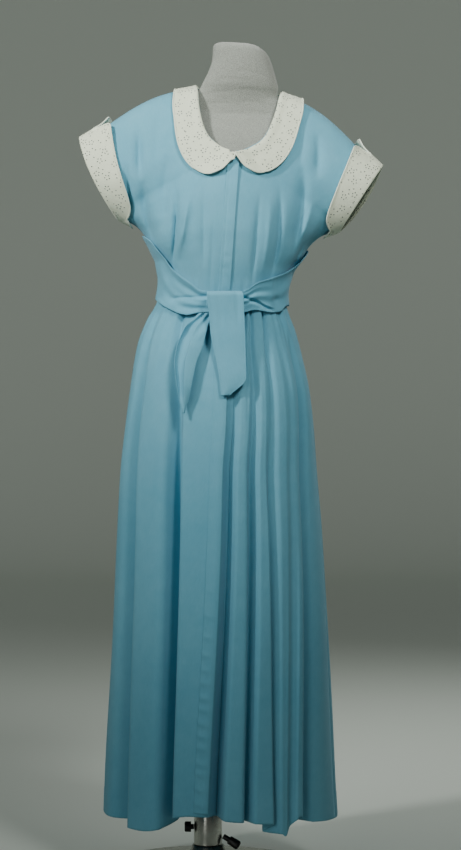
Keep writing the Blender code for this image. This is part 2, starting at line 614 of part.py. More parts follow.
def skirt_panels(blue):
    """Two front panels that meet beside the placket, and one back panel."""
    parts = np.array(FOLD_STEPS)
    columns = np.concatenate([fold + parts for fold in range(len(FOLDS))])
    spans = (("skirt_front_left", LEFT_SIDE_U, FRONT_SEAM_U),
             ("skirt_front_right", FRONT_SEAM_U, RIGHT_SIDE_U),
             ("skirt_back", RIGHT_SIDE_U, LEFT_SIDE_U + len(FOLDS)))
    for name, first, last in spans:
        inside = columns[(columns > first + TINY) & (columns < min(last, len(FOLDS)) - TINY)]
        wrapped = parts[parts < last - len(FOLDS) - TINY] + len(FOLDS)
        around = np.concatenate(([first], inside, wrapped, [last]))
        u, drop = np.meshgrid(around, SKIRT_DROPS)
        turned_u = np.where(u >= len(FOLDS), u - len(FOLDS), u)
        x, y, z = skirt(turned_u, drop)
        points = upright(x, y, z)
        points[..., 2] -= 2 * SEAM_GAP * (1 - smooth_step(drop / 0.03))
        inset = points[:, 1:-1]
        for edge, beside in ((0, 0), (-1, -1)):
            toward = inset[:, beside] - points[:, edge]
            toward /= np.linalg.norm(toward, axis=-1, keepdims=True)
            points[:, edge] += toward * SIDE_EDGE
        cloth(name, points, blue, flip=True)


def plackets(blue):
    """Fly strips down the front: the left front laps over the right."""
    across = np.linspace(PLACKET_LEFT, PLACKET_RIGHT, 4)
    x, z = np.meshgrid(across, np.linspace(PLACKET_LOW_Z, PLACKET_HIGH_Z, 13))
    hand = np.where(x < 0, -1.0, 1.0)
    points = on_bodice(x, z, hand, -1, np.full(x.shape, PLACKET_LIFT))
    points[..., 1] = points[..., 1].min(axis=1, keepdims=True)
    cloth("placket_bodice", lean(*np.moveaxis(points, -1, 0)), blue)
    drops = np.array((SKIRT_PLACKET_TOP,) + SKIRT_DROPS[3:-1] + (SKIRT_PLACKET_END,))
    parts, drop = np.meshgrid(np.linspace(0, 1, 4), drops)
    u = SKIRT_PLACKET_U - (SKIRT_PLACKET_WIDTH + SKIRT_PLACKET_GROWTH * drop) * (1 - parts)
    x, y, z = skirt(u, drop, SKIRT_PLACKET_LIFT)
    cloth("placket_skirt", upright(x, y, z), blue, flip=True)


def waist_point(angle, z, lift):
    """Upright point round the waist, outside the bodice and the skirt's top."""
    power = 2 / WAIST_POWER
    depth = np.where(np.cos(angle) > 0, -WAIST_SHAPE.at("front", z), WAIST_SHAPE.at("back", z))
    x = (WAIST_SHAPE.at("half_width", z) + lift) * power_of(np.sin(angle), power)
    y = -(depth + lift) * power_of(np.cos(angle), power)
    return x, y, z


def sash(blue):
    """Band round the waist, with its knot and its two hanging ends."""
    degrees = np.linspace(-180, 180, 41)[:-1]
    around, w = np.meshgrid(degrees, np.array([0, 0.18, 0.5, 0.82, 1.0]))
    low, high = SASH_LINE.at("low_z", around), SASH_LINE.at("high_z", around)
    z = low + (high - low) * w
    lift = SASH_LINE.at("lift", around) + SASH_RIDGE * np.cos(w * 4 * math.pi)
    x, y, z = waist_point(np.radians(around), z, lift)
    cloth("sash_band", lean(x, y, z), blue, ring=True)
    knot(blue)
    tail("sash_tail_right", blue, TAIL_RIGHT)
    tail("sash_tail_left", blue, TAIL_LEFT)


def knot(blue):
    """Soft square knot of the sash."""
    rows = np.linspace(-math.pi / 2 * 0.92, math.pi / 2 * 0.92, 9)
    turns = np.linspace(0, 2 * math.pi, 24, endpoint=False)
    turn, row = np.meshgrid(turns, rows)
    x = KNOT_HALF[0] * power_of(np.cos(row), 0.5) * power_of(np.cos(turn), 0.6)
    y = KNOT_HALF[1] * power_of(np.cos(row), 0.5) * power_of(np.sin(turn), 0.6)
    z = KNOT_HALF[2] * power_of(np.sin(row), 0.8)
    groove = KNOT_GROOVE * np.exp(-((x * 0.55 + z - 4) / 6) ** 2)
    y = y + groove * (y < 0)
    points = lean(KNOT_CENTRE[0] + x, KNOT_CENTRE[1] + y, KNOT_CENTRE[2] + z)
    closed("sash_knot", points, blue)


def tail(name, blue, shape):
    """One hanging end of the sash, a flat cloth in front of the skirt."""
    step, share = np.meshgrid(shape.along, np.linspace(0, 1, 5), indexing="ij")
    x = shape.at("left", step) * (1 - share) + shape.at("right", step) * share
    z = shape.at("z", step)
    y = shape.at("near", step) - TAIL_BULGE * np.sin(share * math.pi) * smooth_step((1060 - z) / 60)
    cloth(name, upright(x, y, z), blue, flip=True)


def dress_form(jersey):
    """Closed limbless torso and neck, covered in jersey."""
    turns = np.linspace(0, 2 * math.pi, 28, endpoint=False)
    turn, z = np.meshgrid(turns, FORM_RING.along)
    power = 2 / FORM_RING.at("power", z)
    depth = np.where(np.sin(turn) > 0, FORM_RING.at("back", z), -FORM_RING.at("front", z))
    x = FORM_RING.at("half_width", z) * power_of(np.cos(turn), power) + FORM_RING.at("shift", z)
    y = depth * power_of(np.sin(turn), power)
    closed("dress_form", lean(x, y, z), jersey)


def stand(steel, black):
    """Round foot, tube, post up into the form, and two clamp knobs."""
    gap = SEAM_GAP / MM
    turned("stand_base", ((BASE_RADIUS, 0), (BASE_RADIUS, 6), (BASE_RADIUS - 2, 8), (110, 10),
                          (60, 15), (42, 24), (34, 38), (29.5, 46)), steel, sides=48)
    turned("stand_tube", ((SLEEVE_TUBE_RADIUS, 46 + gap), (SLEEVE_TUBE_RADIUS, SLEEVE_TUBE_TOP)),
           steel, sides=32)
    turned("stand_post", ((POST_RADIUS, SLEEVE_TUBE_TOP + gap), (POST_RADIUS, SOCKET_BOTTOM_Z - 1.4)),
           steel, sides=24)
    turn = np.linspace(0, 2 * math.pi, 24, endpoint=False)
    rings = [lean(SOCKET_RADIUS * np.cos(turn), SOCKET_RADIUS * np.sin(turn), np.full(24, height))
             for height in (SOCKET_BOTTOM_Z, FORM_BOTTOM_Z - 0.5)]
    closed("form_socket", np.array(rings), steel)
    rod("clamp_knob_left", (-SLEEVE_TUBE_RADIUS - gap, -4, 80), (-45, -4, 80),
        ((0, 5), (0.3, 5), (0.32, 10), (0.9, 10), (1, 8)), black)
    rod("clamp_knob_right", (SLEEVE_TUBE_RADIUS + 2.6, -6, 62), (60, -12, 44),
        ((0, 5), (0.35, 5), (0.4, 8), (0.9, 9), (1, 6)), black)


def build():
    """Clear the scene and build the dress, the form and the stand."""
    for thing in list(bpy.data.objects):
        bpy.data.objects.remove(thing, do_unlink=True)
    blue = principled("blue_cotton", BLUE, CLOTH_ROUGHNESS)
    cream = principled("eyelet_cotton", CREAM, CLOTH_ROUGHNESS)
    jersey = principled("grey_jersey", JERSEY, CLOTH_ROUGHNESS)
    steel = principled("stand_metal", STEEL, 0.3, 0.9)
    black = principled("knob_black", BLACK, 0.4)
    bodice_panels(blue)
    collar(cream)
    cuff("cuff_left", -1, cream)
    cuff("cuff_right", 1, cream)
    skirt_panels(blue)
    plackets(blue)
    sash(blue)
    dress_form(jersey)
    stand(steel, black)


build()
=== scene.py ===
"""Looks of a long nurse uniform dress, worn on a limbless dress form with a round foot.

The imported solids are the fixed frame. Each cloth piece is a thin shell on the same surface
formula as its solid, on a finer grid, with the smaller creases, gathers, hems, stitches and
bound edges added. Tables are in millimetres: x grows to the viewer's right, y away from the
viewer and z up. Left and right are the viewer's.
"""
import math

import bmesh
import bpy
import numpy as np
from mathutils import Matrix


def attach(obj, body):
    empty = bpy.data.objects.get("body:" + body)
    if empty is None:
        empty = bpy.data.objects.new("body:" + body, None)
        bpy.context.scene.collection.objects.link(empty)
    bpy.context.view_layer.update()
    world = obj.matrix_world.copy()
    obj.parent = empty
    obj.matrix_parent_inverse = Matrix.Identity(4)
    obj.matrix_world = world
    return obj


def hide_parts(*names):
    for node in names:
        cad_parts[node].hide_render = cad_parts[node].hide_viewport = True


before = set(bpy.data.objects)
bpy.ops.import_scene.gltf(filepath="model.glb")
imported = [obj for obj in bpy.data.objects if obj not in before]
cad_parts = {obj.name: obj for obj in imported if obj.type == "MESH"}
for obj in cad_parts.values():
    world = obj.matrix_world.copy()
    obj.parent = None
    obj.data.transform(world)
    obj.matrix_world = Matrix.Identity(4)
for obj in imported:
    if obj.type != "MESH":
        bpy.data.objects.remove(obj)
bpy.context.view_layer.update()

MM = 0.001
TOWARDS_VIEWER = np.array([0.0, -1.0, 0.0])
LEAN = math.radians(4.0)
LEAN_PIVOT_Z = 692.0
WAIST_POWER = 2.3
SLEEVE_CENTRE = {-1: (254.0, 1313.5), 1: (252.0, 1309.5)}
SLEEVE_HALF = {-1: 85.5, 1: 74.5}
SLEEVE_HALF_DEPTH = 46.0
SLEEVE_TILT = math.radians(29.0)
SLEEVE_BOW = 11.0
SLEEVE_FRONT_BOW = {-1: 11.0, 1: -1.0}
SHOULDER_RISE = 17.0
SHOULDER_RISE_WIDTH = 0.8
SHOULDER_RISE_LOW_V = 0.72
UNDERARM_V = 0.56
UNDERARM_BLEND_V = 0.3
CUFF_LIFT = 3.0
CUFF_FLARE = 4.5
CUFF_UNDERARM_LIFT = 3.0
CUFF_NOTCH_DEPTH = 0.8
PLACKET_LEFT = -9.0
PLACKET_RIGHT = 14.0
PLACKET_LOW_Z = 1112.0
PLACKET_HIGH_Z = 1364.0
SKIRT_PLACKET_U = 2.42
SKIRT_PLACKET_WIDTH = 0.12
SKIRT_PLACKET_GROWTH = 0.06
CENTRE_SEAM_X = 4.0
CENTRE_SEAM_TOP_V = 0.62
CENTRE_SEAM_FADE = 0.1
NECK_SHIFT = 3.0
COLLAR_SHOULDER_U = 10 / 24
COLLAR_LIFT = 4.2
COLLAR_ROLL = 2.2
COLLAR_OVER_PLACKET = 4.2
COLLAR_OFFSET_X = 3.3
COLLAR_UNEVEN = 4.5
LEFT_SIDE_U = 0.22
FRONT_SEAM_U = 2.72
RIGHT_SIDE_U = 7.22
SASH_RIDGE = 1.6
KNOT_CENTRE = (4.0, -112.3, 1085.0)
KNOT_HALF = (33.0, 12.0, 17.0)
KNOT_GROOVE = 2.5
TAIL_BULGE = 3.0
SLEEVE_TUBE_RADIUS = 27.0
FLAT_POWERS = {-1: 2.2, 1: 1.5}
SEAM_POWER = 1.8
FOLD_COLUMNS = ("name", "start_high", "end_high", "valley_high", "start_hem", "end_hem",
                "valley_hem", "depth_high", "depth_hem", "hem_drop")
FOLDS = (
    ("left rim", -100, -71, -62.5, -98, -65, -57.5, 12, 44, -12),
    ("broad left", -54, -32, -26.5, -50, -32, -30, 20, 58, 0),
    ("placket", -20, 4.0, 8.5, -22, -5.6, -2.4, 11, 38, -34),
    ("right of placket", 13, 18, 22, 2.4, 11.6, 13.2, 12, 32, -24),
    ("third right", 26, 29, 33.5, 17.0, 26.6, 23.0, 5, 28, -18),
    ("small crest", 38.5, 44, 48.5, 31.0, 33.5, 36.8, 3, 9, 14),
    ("fourth right", 53, 59, 64, 40, 44.0, 46.5, 15, 50, -26),
    ("right rim", 70, 99, 107, 53, 96, 104, 12, 32, -6),
    ("back one", 114, 124, 130, 111, 121, 126.5, 12, 34, 3),
    ("back two", 136, 144, 149, 133, 143, 149, 10, 28, 6),
    ("back three", 154, 166, 171, 155, 168, 174, 14, 38, 2),
    ("back four", 177, 188, 193, 181, 191, 197, 11, 30, 7),
    ("back five", 199, 210, 216, 203, 213, 219, 14, 40, 1),
    ("back six", 222, 230, 235, 225, 234, 240, 10, 30, 5),
    ("back seven", 241, 248, 253.5, 245.5, 251, 256, 11, 32, 3),
)
HIGH_DROP = 0.24
FALL_START = 0.36
CREST_END = 0.42
CREST_MIDDLE = 0.21
VALLEY_PART = 0.72
TAIL_COLUMNS = ("step", "z", "left", "right", "near")


class Table:
    """Rows of named sizes, read through smoothly along the first column."""

    def __init__(self, columns, rows):
        values = np.array(rows, dtype=float)
        self.along = values[:, 0]
        self.values = {name: values[:, i] for i, name in enumerate(columns)}

    def at(self, column, where):
        return through(where, self.along, self.values[column])


def through(where, knots, values):
    """Read a smooth curve that passes through the knots and never overshoots them."""
    where = np.clip(np.asarray(where, dtype=float), knots[0], knots[-1])
    step = np.diff(knots)
    rise = np.diff(values) / step
    slope = np.concatenate(([rise[0]], np.zeros(len(rise) - 1), [rise[-1]]))
    before, after = rise[:-1], rise[1:]
    level = before * after <= 0
    slope[1:-1] = np.where(level, 0.0, 2 * before * after / np.where(level, 1.0, before + after))
    index = np.clip(np.searchsorted(knots, where, side="right") - 1, 0, len(step) - 1)
    span = step[index]
    t = (where - knots[index]) / span
    start = (1 + 2 * t) * (1 - t) ** 2 * values[index] + t * (1 - t) ** 2 * span * slope[index]
    end = t * t * (3 - 2 * t) * values[index + 1] - t * t * (1 - t) * span * slope[index + 1]
    return start + end


BODICE_FRONT = Table(
    ("v", "x", "y", "z"),
    ((0.00, 0, -92, 1095), (0.10, 0, -98, 1125), (0.20, 0, -106, 1155), (0.30, 0, -113, 1192),
     (0.40, 0, -118, 1238), (0.50, 0, -116, 1295), (0.56, 0, -109, 1335), (0.62, 3, -96, 1371),
     (0.65, 18, -90.5, 1377), (0.68, 31, -85, 1385), (0.74, 51, -75, 1402), (0.80, 64, -60, 1429),
     (0.87, 73, -41, 1462), (0.94, 78, -16, 1493), (1.00, 81, 12, 1503)))
BODICE_BACK = Table(
    ("v", "x", "y", "z"),
    ((0.00, 0, 92, 1095), (0.10, 0, 93, 1130), (0.20, 0, 96, 1170), (0.30, 0, 100, 1212),
     (0.40, 0, 105, 1260), (0.50, 0, 109, 1312), (0.56, 0, 109, 1345), (0.64, 0, 106, 1385),
     (0.74, 0, 96, 1432), (0.83, 0, 80, 1474), (0.88, 40, 67, 1486), (0.94, 69, 41, 1498),
     (1.00, 81, 12, 1503)))
BODICE_SIDE = Table(
    ("v", "x", "z"),
    ((0.00, 123, 1095), (0.10, 123, 1126), (0.20, 129, 1157), (0.30, 147, 1187), (0.40, 160, 1211),
     (0.48, 180, 1229), (0.56, 211, 1239)))
BODICE_ROUND = Table(
    ("v", "power", "flat"),
    ((0.00, 2.3, 0.0), (0.30, 2.3, 0.0), (0.45, 2.2, 0.15), (0.56, 2.0, 0.6), (0.70, 2.0, 1.0),
     (1.00, 2.0, 1.0)))
COLLAR_LINE = Table(
    ("u", "inner_x", "inner_z", "outer_x", "outer_z"),
    ((0.00, 0, 1476, 0, 1430), (0.04, 9, 1476, 19, 1430), (0.14, 32, 1484, 62, 1440),
     (0.29, 65, 1496, 106, 1464),
     (COLLAR_SHOULDER_U, 81, 1505, 121, 1491), (0.50, 77, 1482, 123, 1466),
     (0.60, 70, 1447, 117, 1428), (0.70, 60, 1414, 108, 1390), (0.78, 48, 1395, 93, 1359),
     (0.85, 34, 1384, 71, 1338), (0.91, 21, 1376, 45, 1328), (0.96, 10, 1371, 22, 1336),
     (1.00, 0.8, 1367, 1.6, 1358)))
CUFF_WIDTH = Table(
    ("v", "share", "drop"),
    ((UNDERARM_V, 0.0, 0.058), (0.61, 0.085, 0.03), (0.68, 0.165, 0.008), (0.80, 0.235, 0),
     (0.92, 0.265, 0), (1.00, 0.26, 0)))
SKIRT_RING = Table(
    ("drop", "z", "left", "right", "front", "back", "power"),
    ((0.000, 1094, -94.6, 150.8, -92, 92, 2.3), (0.020, 1074, -100, 156, -95, 94, 2.25),
     (0.045, 1049, -115, 166, -101, 102, 2.2), (0.095, 999, -136, 180, -120, 124, 2.1),
     (0.170, 922, -150, 196, -140, 146, 2.1), (0.250, 844, -161, 204, -152, 160, 2.05),
     (0.330, 767, -169, 209, -160, 170, 2.0), (0.445, 651, -175, 219, -170, 182, 2.0),
     (0.600, 497, -182, 229, -184, 194, 2.0), (0.755, 343, -190, 237, -196, 206, 2.0),
     (0.910, 188, -198, 245, -206, 216, 2.0), (1.000, 100, -201, 250, -212, 222, 2.0)))
FOLD_GROWTH = Table(
    ("drop", "grown"),
    ((0, 0), (0.045, 0.12), (0.10, 0.5), (HIGH_DROP, 1.0), (0.6, 1.6), (1.0, 2.0)))
SASH_LINE = Table(
    ("angle", "low_z", "high_z", "lift"),
    ((-180, 1088, 1202, 3.7), (-110, 1090, 1206, 3.7), (-85, 1088, 1207, 3.7),
     (-68, 1081, 1198, 3.7), (-47, 1069, 1146, 3.9), (-25, 1058, 1119, 4.8),
     (-14, 1064, 1106, 5.0), (14, 1070, 1110, 5.0), (26, 1077, 1128, 4.8), (40, 1075, 1139, 4.1),
     (56, 1079, 1151, 3.9), (70, 1091, 1164, 3.7), (86, 1094, 1190, 3.7), (104, 1094, 1205, 3.7),
     (180, 1088, 1202, 3.7)))
TAIL_RIGHT = Table(
    TAIL_COLUMNS,
    ((0, 1106, 3, 62, -115.4), (1, 1104, 0, 65, -122.4), (2, 1096, -1, 68, -126.6),
     (3, 1072, 2, 69, -126.8), (4, 1026, 6, 71, -130.5), (5, 991, 13, 72, -135),
     (6, 943, 22, 73, -145), (7, 909, 25, 42, -150)))
TAIL_LEFT = Table(
    TAIL_COLUMNS,
    ((0, 1065, -16, 8, -104.0), (1, 1055, -26, 5, -105.8), (2, 1040, -40, 1, -112),
     (3, 1000, -57, -9, -128), (4, 972, -61, -20, -136), (5, 944, -59, -26, -143),
     (6, 906, -53, -33, -149), (7, 876, -46, -42, -152)))
WAIST_SHAPE = Table(
    ("z", "half_width", "front", "back"),
    ((1045, 137, -102, 104), (1060, 132, -98.5, 101), (1075, 127.5, -95, 96.5),
     (1095, 124, -92.6, 92.6), (1126, 124, -99, 93), (1157, 130, -107, 96),
     (1175, 141, -111, 99), (1190, 149, -114, 101),
     (1205, 157, -116.5, 103), (1222, 165, -118, 105)))
FORM_RING = Table(
    ("z", "half_width", "front", "back", "power", "shift"),
    ((800, 118, -76, 92, 2.2, 0), (806, 124, -82, 98, 2.2, 0), (850, 132, -92, 104, 2.2, 0),
     (900, 134, -96, 106, 2.2, 0), (1000, 118, -86, 92, 2.2, 0), (1095, 100, -74, 72, 2.3, 0),
     (1160, 108, -84, 80, 2.3, 0), (1240, 130, -98, 90, 2.3, 0), (1310, 146, -94, 94, 2.2, 0),
     (1370, 158, -76, 92, 2.0, 0), (1415, 164, -53, 82, 2.0, 0), (1441, 160, -34, 70, 2.0, 0),
     (1458.5, 142, -24.5, 63, 2.0, 0), (1474, 112, -22.5, 59, 2.0, 0), (1487, 84, -24, 56, 2.0, 0),
     (1500, 75, -28, 53, 2.0, 3), (1510, 73, -32, 54, 2.0, 5), (1528, 66.5, -34, 56, 2.0, 6.5),
     (1548, 60, -34, 57, 2.0, 6), (1566, 55, -33, 56, 2.1, 3), (1578, 51, -31, 53, 2.2, -1.5),
     (1587, 43, -25, 45, 2.2, -6.5), (1591, 33, -15, 35, 2.2, -7)))


def lean(x, y, z):
    """Turn upright points in millimetres into leaned points in metres."""
    up = z - LEAN_PIVOT_Z
    cos, sin = math.cos(LEAN), math.sin(LEAN)
    return np.stack((x * cos + up * sin, y, up * cos - x * sin + LEAN_PIVOT_Z), axis=-1) * MM


def upright(x, y, z):
    """Turn points in millimetres into metres with no lean."""
    return np.stack(np.broadcast_arrays(x, y, z), axis=-1) * MM


def power_of(value, power):
    """Raise a value to a power and keep its sign."""
    return np.sign(value) * np.abs(value) ** power


def smooth_step(t):
    t = np.clip(t, 0.0, 1.0)
    return t * t * (3 - 2 * t)


def bell(away, half_width):
    """Smooth hump that is one in its middle and fades out to both sides."""
    return np.exp(-(away / half_width) ** 2)


def bells(value, humps):
    """Sum of smooth humps, each given by its middle, half width and height."""
    return sum(height * bell(value - middle, half_width) for middle, half_width, height in humps)


def full_turn(count):
    """Angles of one whole turn, the first and the last in the same place."""
    return np.linspace(0, 2 * math.pi, count)


def unit(vectors):
    """Vectors brought to a length of one, along the last axis."""
    return vectors / np.maximum(np.linalg.norm(vectors, axis=-1, keepdims=True), 1e-12)


def outer_edge(v, hand, facing):
    """Side seam up to the underarm, then the loop round the sleeve's end to its top."""
    v = np.asarray(v, dtype=float)
    hand = np.broadcast_to(hand, np.broadcast(v, hand).shape)
    centre_x = np.where(hand < 0, SLEEVE_CENTRE[-1][0], SLEEVE_CENTRE[1][0])
    centre_z = np.where(hand < 0, SLEEVE_CENTRE[-1][1], SLEEVE_CENTRE[1][1])
    half = np.where(hand < 0, SLEEVE_HALF[-1], SLEEVE_HALF[1])
    front_bow = np.where(hand < 0, SLEEVE_FRONT_BOW[-1], SLEEVE_FRONT_BOW[1])
    bow = front_bow if facing < 0 else SLEEVE_BOW
    turn = np.clip(math.pi * (1 - v) / (1 - UNDERARM_V), 0, math.pi)
    along = np.cos(turn) * half
    loop_x = centre_x + along * math.sin(SLEEVE_TILT) + bow * np.sin(turn) ** 2
    loop_z = centre_z + along * math.cos(SLEEVE_TILT)
    loop_y = facing * SLEEVE_HALF_DEPTH * np.sin(turn)
    blend = smooth_step((v - UNDERARM_BLEND_V) / (UNDERARM_V - UNDERARM_BLEND_V))
    low_x = centre_x - half * math.sin(SLEEVE_TILT) - BODICE_SIDE.at("x", UNDERARM_V)
    low_z = centre_z - half * math.cos(SLEEVE_TILT) - BODICE_SIDE.at("z", UNDERARM_V)
    side = v < UNDERARM_V
    return (np.where(side, BODICE_SIDE.at("x", v) + low_x * blend, loop_x),
            np.where(side, 0.0, loop_y),
            np.where(side, BODICE_SIDE.at("z", v) + low_z * blend, loop_z))


def neck_shift(v):
    """How far to the right of the middle the neckline sits."""
    return NECK_SHIFT * smooth_step((v - CENTRE_SEAM_TOP_V) / 0.1)


def shoulder_rise(width, v):
    """How far the shoulder's rounded top stands above straight rows of the patch."""
    hump = np.sin(math.pi * np.clip(width / SHOULDER_RISE_WIDTH, 0, 1))
    return SHOULDER_RISE * hump * smooth_step((v - SHOULDER_RISE_LOW_V) / (1 - SHOULDER_RISE_LOW_V))


def bodice(t, v, hand, facing):
    """Upright bodice point: t runs from centre to side, v from waist to shoulder seam."""
    inner = BODICE_FRONT if facing < 0 else BODICE_BACK
    outer_x, outer_y, outer_z = outer_edge(v, hand, facing)
    inner_x, inner_y, inner_z = (inner.at(axis, v) for axis in "xyz")
    inner_x = inner_x + hand * neck_shift(v)
    power = BODICE_ROUND.at("power", v)
    flat = BODICE_ROUND.at("flat", v)
    angle = np.asarray(t) * math.pi / 2
    width = np.sin(angle) ** (2 / power)
    hollow = SEAM_POWER + (FLAT_POWERS[facing] - SEAM_POWER) * smooth_step((1 - v) / 0.15)
    wrap = (1 - flat) * (1 - np.cos(angle) ** (2 / power)) + flat * width ** hollow
    x = hand * (inner_x + (outer_x - inner_x) * width)
    z = inner_z + (outer_z - inner_z) * width + shoulder_rise(width, v)
    y = inner_y + (outer_y - inner_y) * wrap
    return np.stack(np.broadcast_arrays(x, y, z), axis=-1)


def straight_place(x, z, hand, facing):
    """Find the width share and v of a point on the patch's straight rows, by halving."""
    inner = BODICE_FRONT if facing < 0 else BODICE_BACK
    x = hand * np.asarray(x, dtype=float)
    low = np.zeros(x.shape)
    high = np.ones(x.shape)
    for _ in range(36):
        v = (low + high) / 2
        outer_x, _, outer_z = outer_edge(v, hand, facing)
        row_x, row_z = inner.at("x", v) + hand * neck_shift(v), inner.at("z", v)
        above = (outer_x - row_x) * (z - row_z) - (outer_z - row_z) * (x - row_x) > 0
        low = np.where(above, v, low)
        high = np.where(above, high, v)
    width = ((x - row_x) * (outer_x - row_x) + (z - row_z) * (outer_z - row_z))
    return np.clip(width / ((outer_x - row_x) ** 2 + (outer_z - row_z) ** 2), 0, 1), v


def bodice_place(x, z, hand, facing):
    """Find the t and v of the bodice point that is seen at x and z."""
    width, v = straight_place(x, z, hand, facing)
    for _ in range(6):
        width, v = straight_place(x, z - shoulder_rise(width, v), hand, facing)
    return part_of(width, v), v


def part_of(width, v):
    """The t at which a row of the bodice has gone the given share of its width."""
    return np.arcsin(width ** (BODICE_ROUND.at("power", v) / 2)) * 2 / math.pi


def on_bodice(x, z, hand, facing, lift):
    """Upright point that is seen at x and z, moved out from the bodice by the lift."""
    t, v = bodice_place(x, z, hand, facing)
    step = 0.004
    t = np.clip(t, step, 1 - step)
    v = np.clip(v, step, 1 - step)
    across = bodice(t + step, v, hand, facing) - bodice(t - step, v, hand, facing)
    along = bodice(t, v + step, hand, facing) - bodice(t, v - step, hand, facing)
    normal = unit(np.cross(across, along) * np.asarray(-hand * facing)[..., None])
    return bodice(t, v, hand, facing) + normal * np.asarray(lift)[..., None]


def fold_track(column):
    """One column of the fold table, with the first fold again at the end."""
    values = [row[FOLD_COLUMNS.index(column)] for row in FOLDS]
    return np.array(values + [values[0]], dtype=float)


def split_folds(u):
    """Number of the fold that a skirt point is in, and how far through it the point is."""
    index = np.clip(np.floor(u).astype(int), 0, len(FOLDS) - 1)
    return index, u - index


def skirt_angle(u, drop):
    """Direction in degrees of a skirt point, where u counts the folds round the waist."""
    index, part = split_folds(u)
    share = np.clip((drop - HIGH_DROP) / (1 - HIGH_DROP), 0, 1)

    def mark(name, fold):
        high, hem = fold_track(name + "_high")[fold], fold_track(name + "_hem")[fold]
        return high * (1 - share) + hem * share

    first, last, deep = mark("start", index), mark("end", index), mark("valley", index)
    following = mark("start", index + 1) + 360.0 * (index + 1 == len(FOLDS))
    crest = first + (last - first) * part / CREST_END
    falling = last + (deep - last) * (part - CREST_END) / (VALLEY_PART - CREST_END)
    rising = deep + (following - deep) * (part - VALLEY_PART) / (1 - VALLEY_PART)
    return np.where(part < CREST_END, crest, np.where(part < VALLEY_PART, falling, rising))


def skirt_dip(u, drop):
    """How far in from the crests a skirt point lies, in millimetres."""
    index, part = split_folds(u)
    high, hem = fold_track("depth_high")[index], fold_track("depth_hem")[index]
    grown = FOLD_GROWTH.at("grown", drop)
    depth = high * np.clip(grown, 0, 1) + (hem - high) * np.clip(grown - 1, 0, 1)
    fall = smooth_step((part - FALL_START) / (VALLEY_PART - FALL_START))
    rise = smooth_step((1 - part) / (1 - VALLEY_PART))
    return depth * np.where(part < VALLEY_PART, fall, rise)


def hem_drop(u):
    """How far the hem hangs below its ring, smooth from one fold's crest to the next."""
    crests = np.arange(-1, len(FOLDS) + 1) + CREST_MIDDLE
    drops = fold_track("hem_drop")
    return through(u, crests, np.concatenate((drops[-2:-1], drops)))


def skirt(u, drop, lift=0.0):
    """Skirt point in millimetres: u counts folds round, drop runs from waist to hem."""
    u, drop = np.broadcast_arrays(np.asarray(u, dtype=float), np.asarray(drop, dtype=float))
    angle = np.radians(skirt_angle(u, drop))
    left, right = SKIRT_RING.at("left", drop), SKIRT_RING.at("right", drop)
    front, back = SKIRT_RING.at("front", drop), SKIRT_RING.at("back", drop)
    power = 2 / SKIRT_RING.at("power", drop)
    centre, half = (left + right) / 2, (right - left) / 2
    depth = np.where(np.cos(angle) > 0, -front, back)
    mean = (half + depth) / 2
    scale = 1 - (skirt_dip(u, drop) - lift) / mean
    x = half * power_of(np.sin(angle), power) * scale
    y = -depth * power_of(np.cos(angle), power) * scale
    tilt = math.tan(LEAN) * (1 - smooth_step(drop / 0.25))
    hem = hem_drop(u) * smooth_step((drop - 0.3) / 0.7)
    return x + centre, y, SKIRT_RING.at("z", drop) - x * tilt - hem


def cuff_point(angle, w, hand, lift):
    """Cuff point over the sleeve: angle runs round from the top, w from the fold to the edge."""
    facing = np.where(angle < math.pi, -1, 1)
    round_half = np.where(angle < math.pi, angle, 2 * math.pi - angle)
    v = 1 - (1 - UNDERARM_V) * round_half / math.pi
    share, drop = CUFF_WIDTH.at("share", v), CUFF_WIDTH.at("drop", v)
    v = v - w * drop
    t = part_of(1 - w * share, v)
    under = np.where((facing < 0)[..., None], bodice(t, v, hand, -1), bodice(t, v, hand, 1))
    outward = np.stack((hand * np.cos(angle) * math.sin(SLEEVE_TILT), -np.sin(angle),
                        np.cos(angle) * math.cos(SLEEVE_TILT)), axis=-1)
    return under + outward * lift[..., None]


def waist_point(angle, z, lift):
    """Upright point round the waist, outside the bodice and the skirt's top."""
    power = 2 / WAIST_POWER
    depth = np.where(np.cos(angle) > 0, -WAIST_SHAPE.at("front", z), WAIST_SHAPE.at("back", z))
    x = (WAIST_SHAPE.at("half_width", z) + lift) * power_of(np.sin(angle), power)
    y = -(depth + lift) * power_of(np.cos(angle), power)
    return x, y, z


CLOTH_WALL = 0.8 * MM
EYELET_WALL = 0.9 * MM
WELD = 0.02 * MM
SHARP_ANGLE = math.radians(35)
STITCH_PITCH = 3.2 * MM
STITCH_LENGTH = 2.3 * MM
STITCH_RADIUS = 0.32 * MM

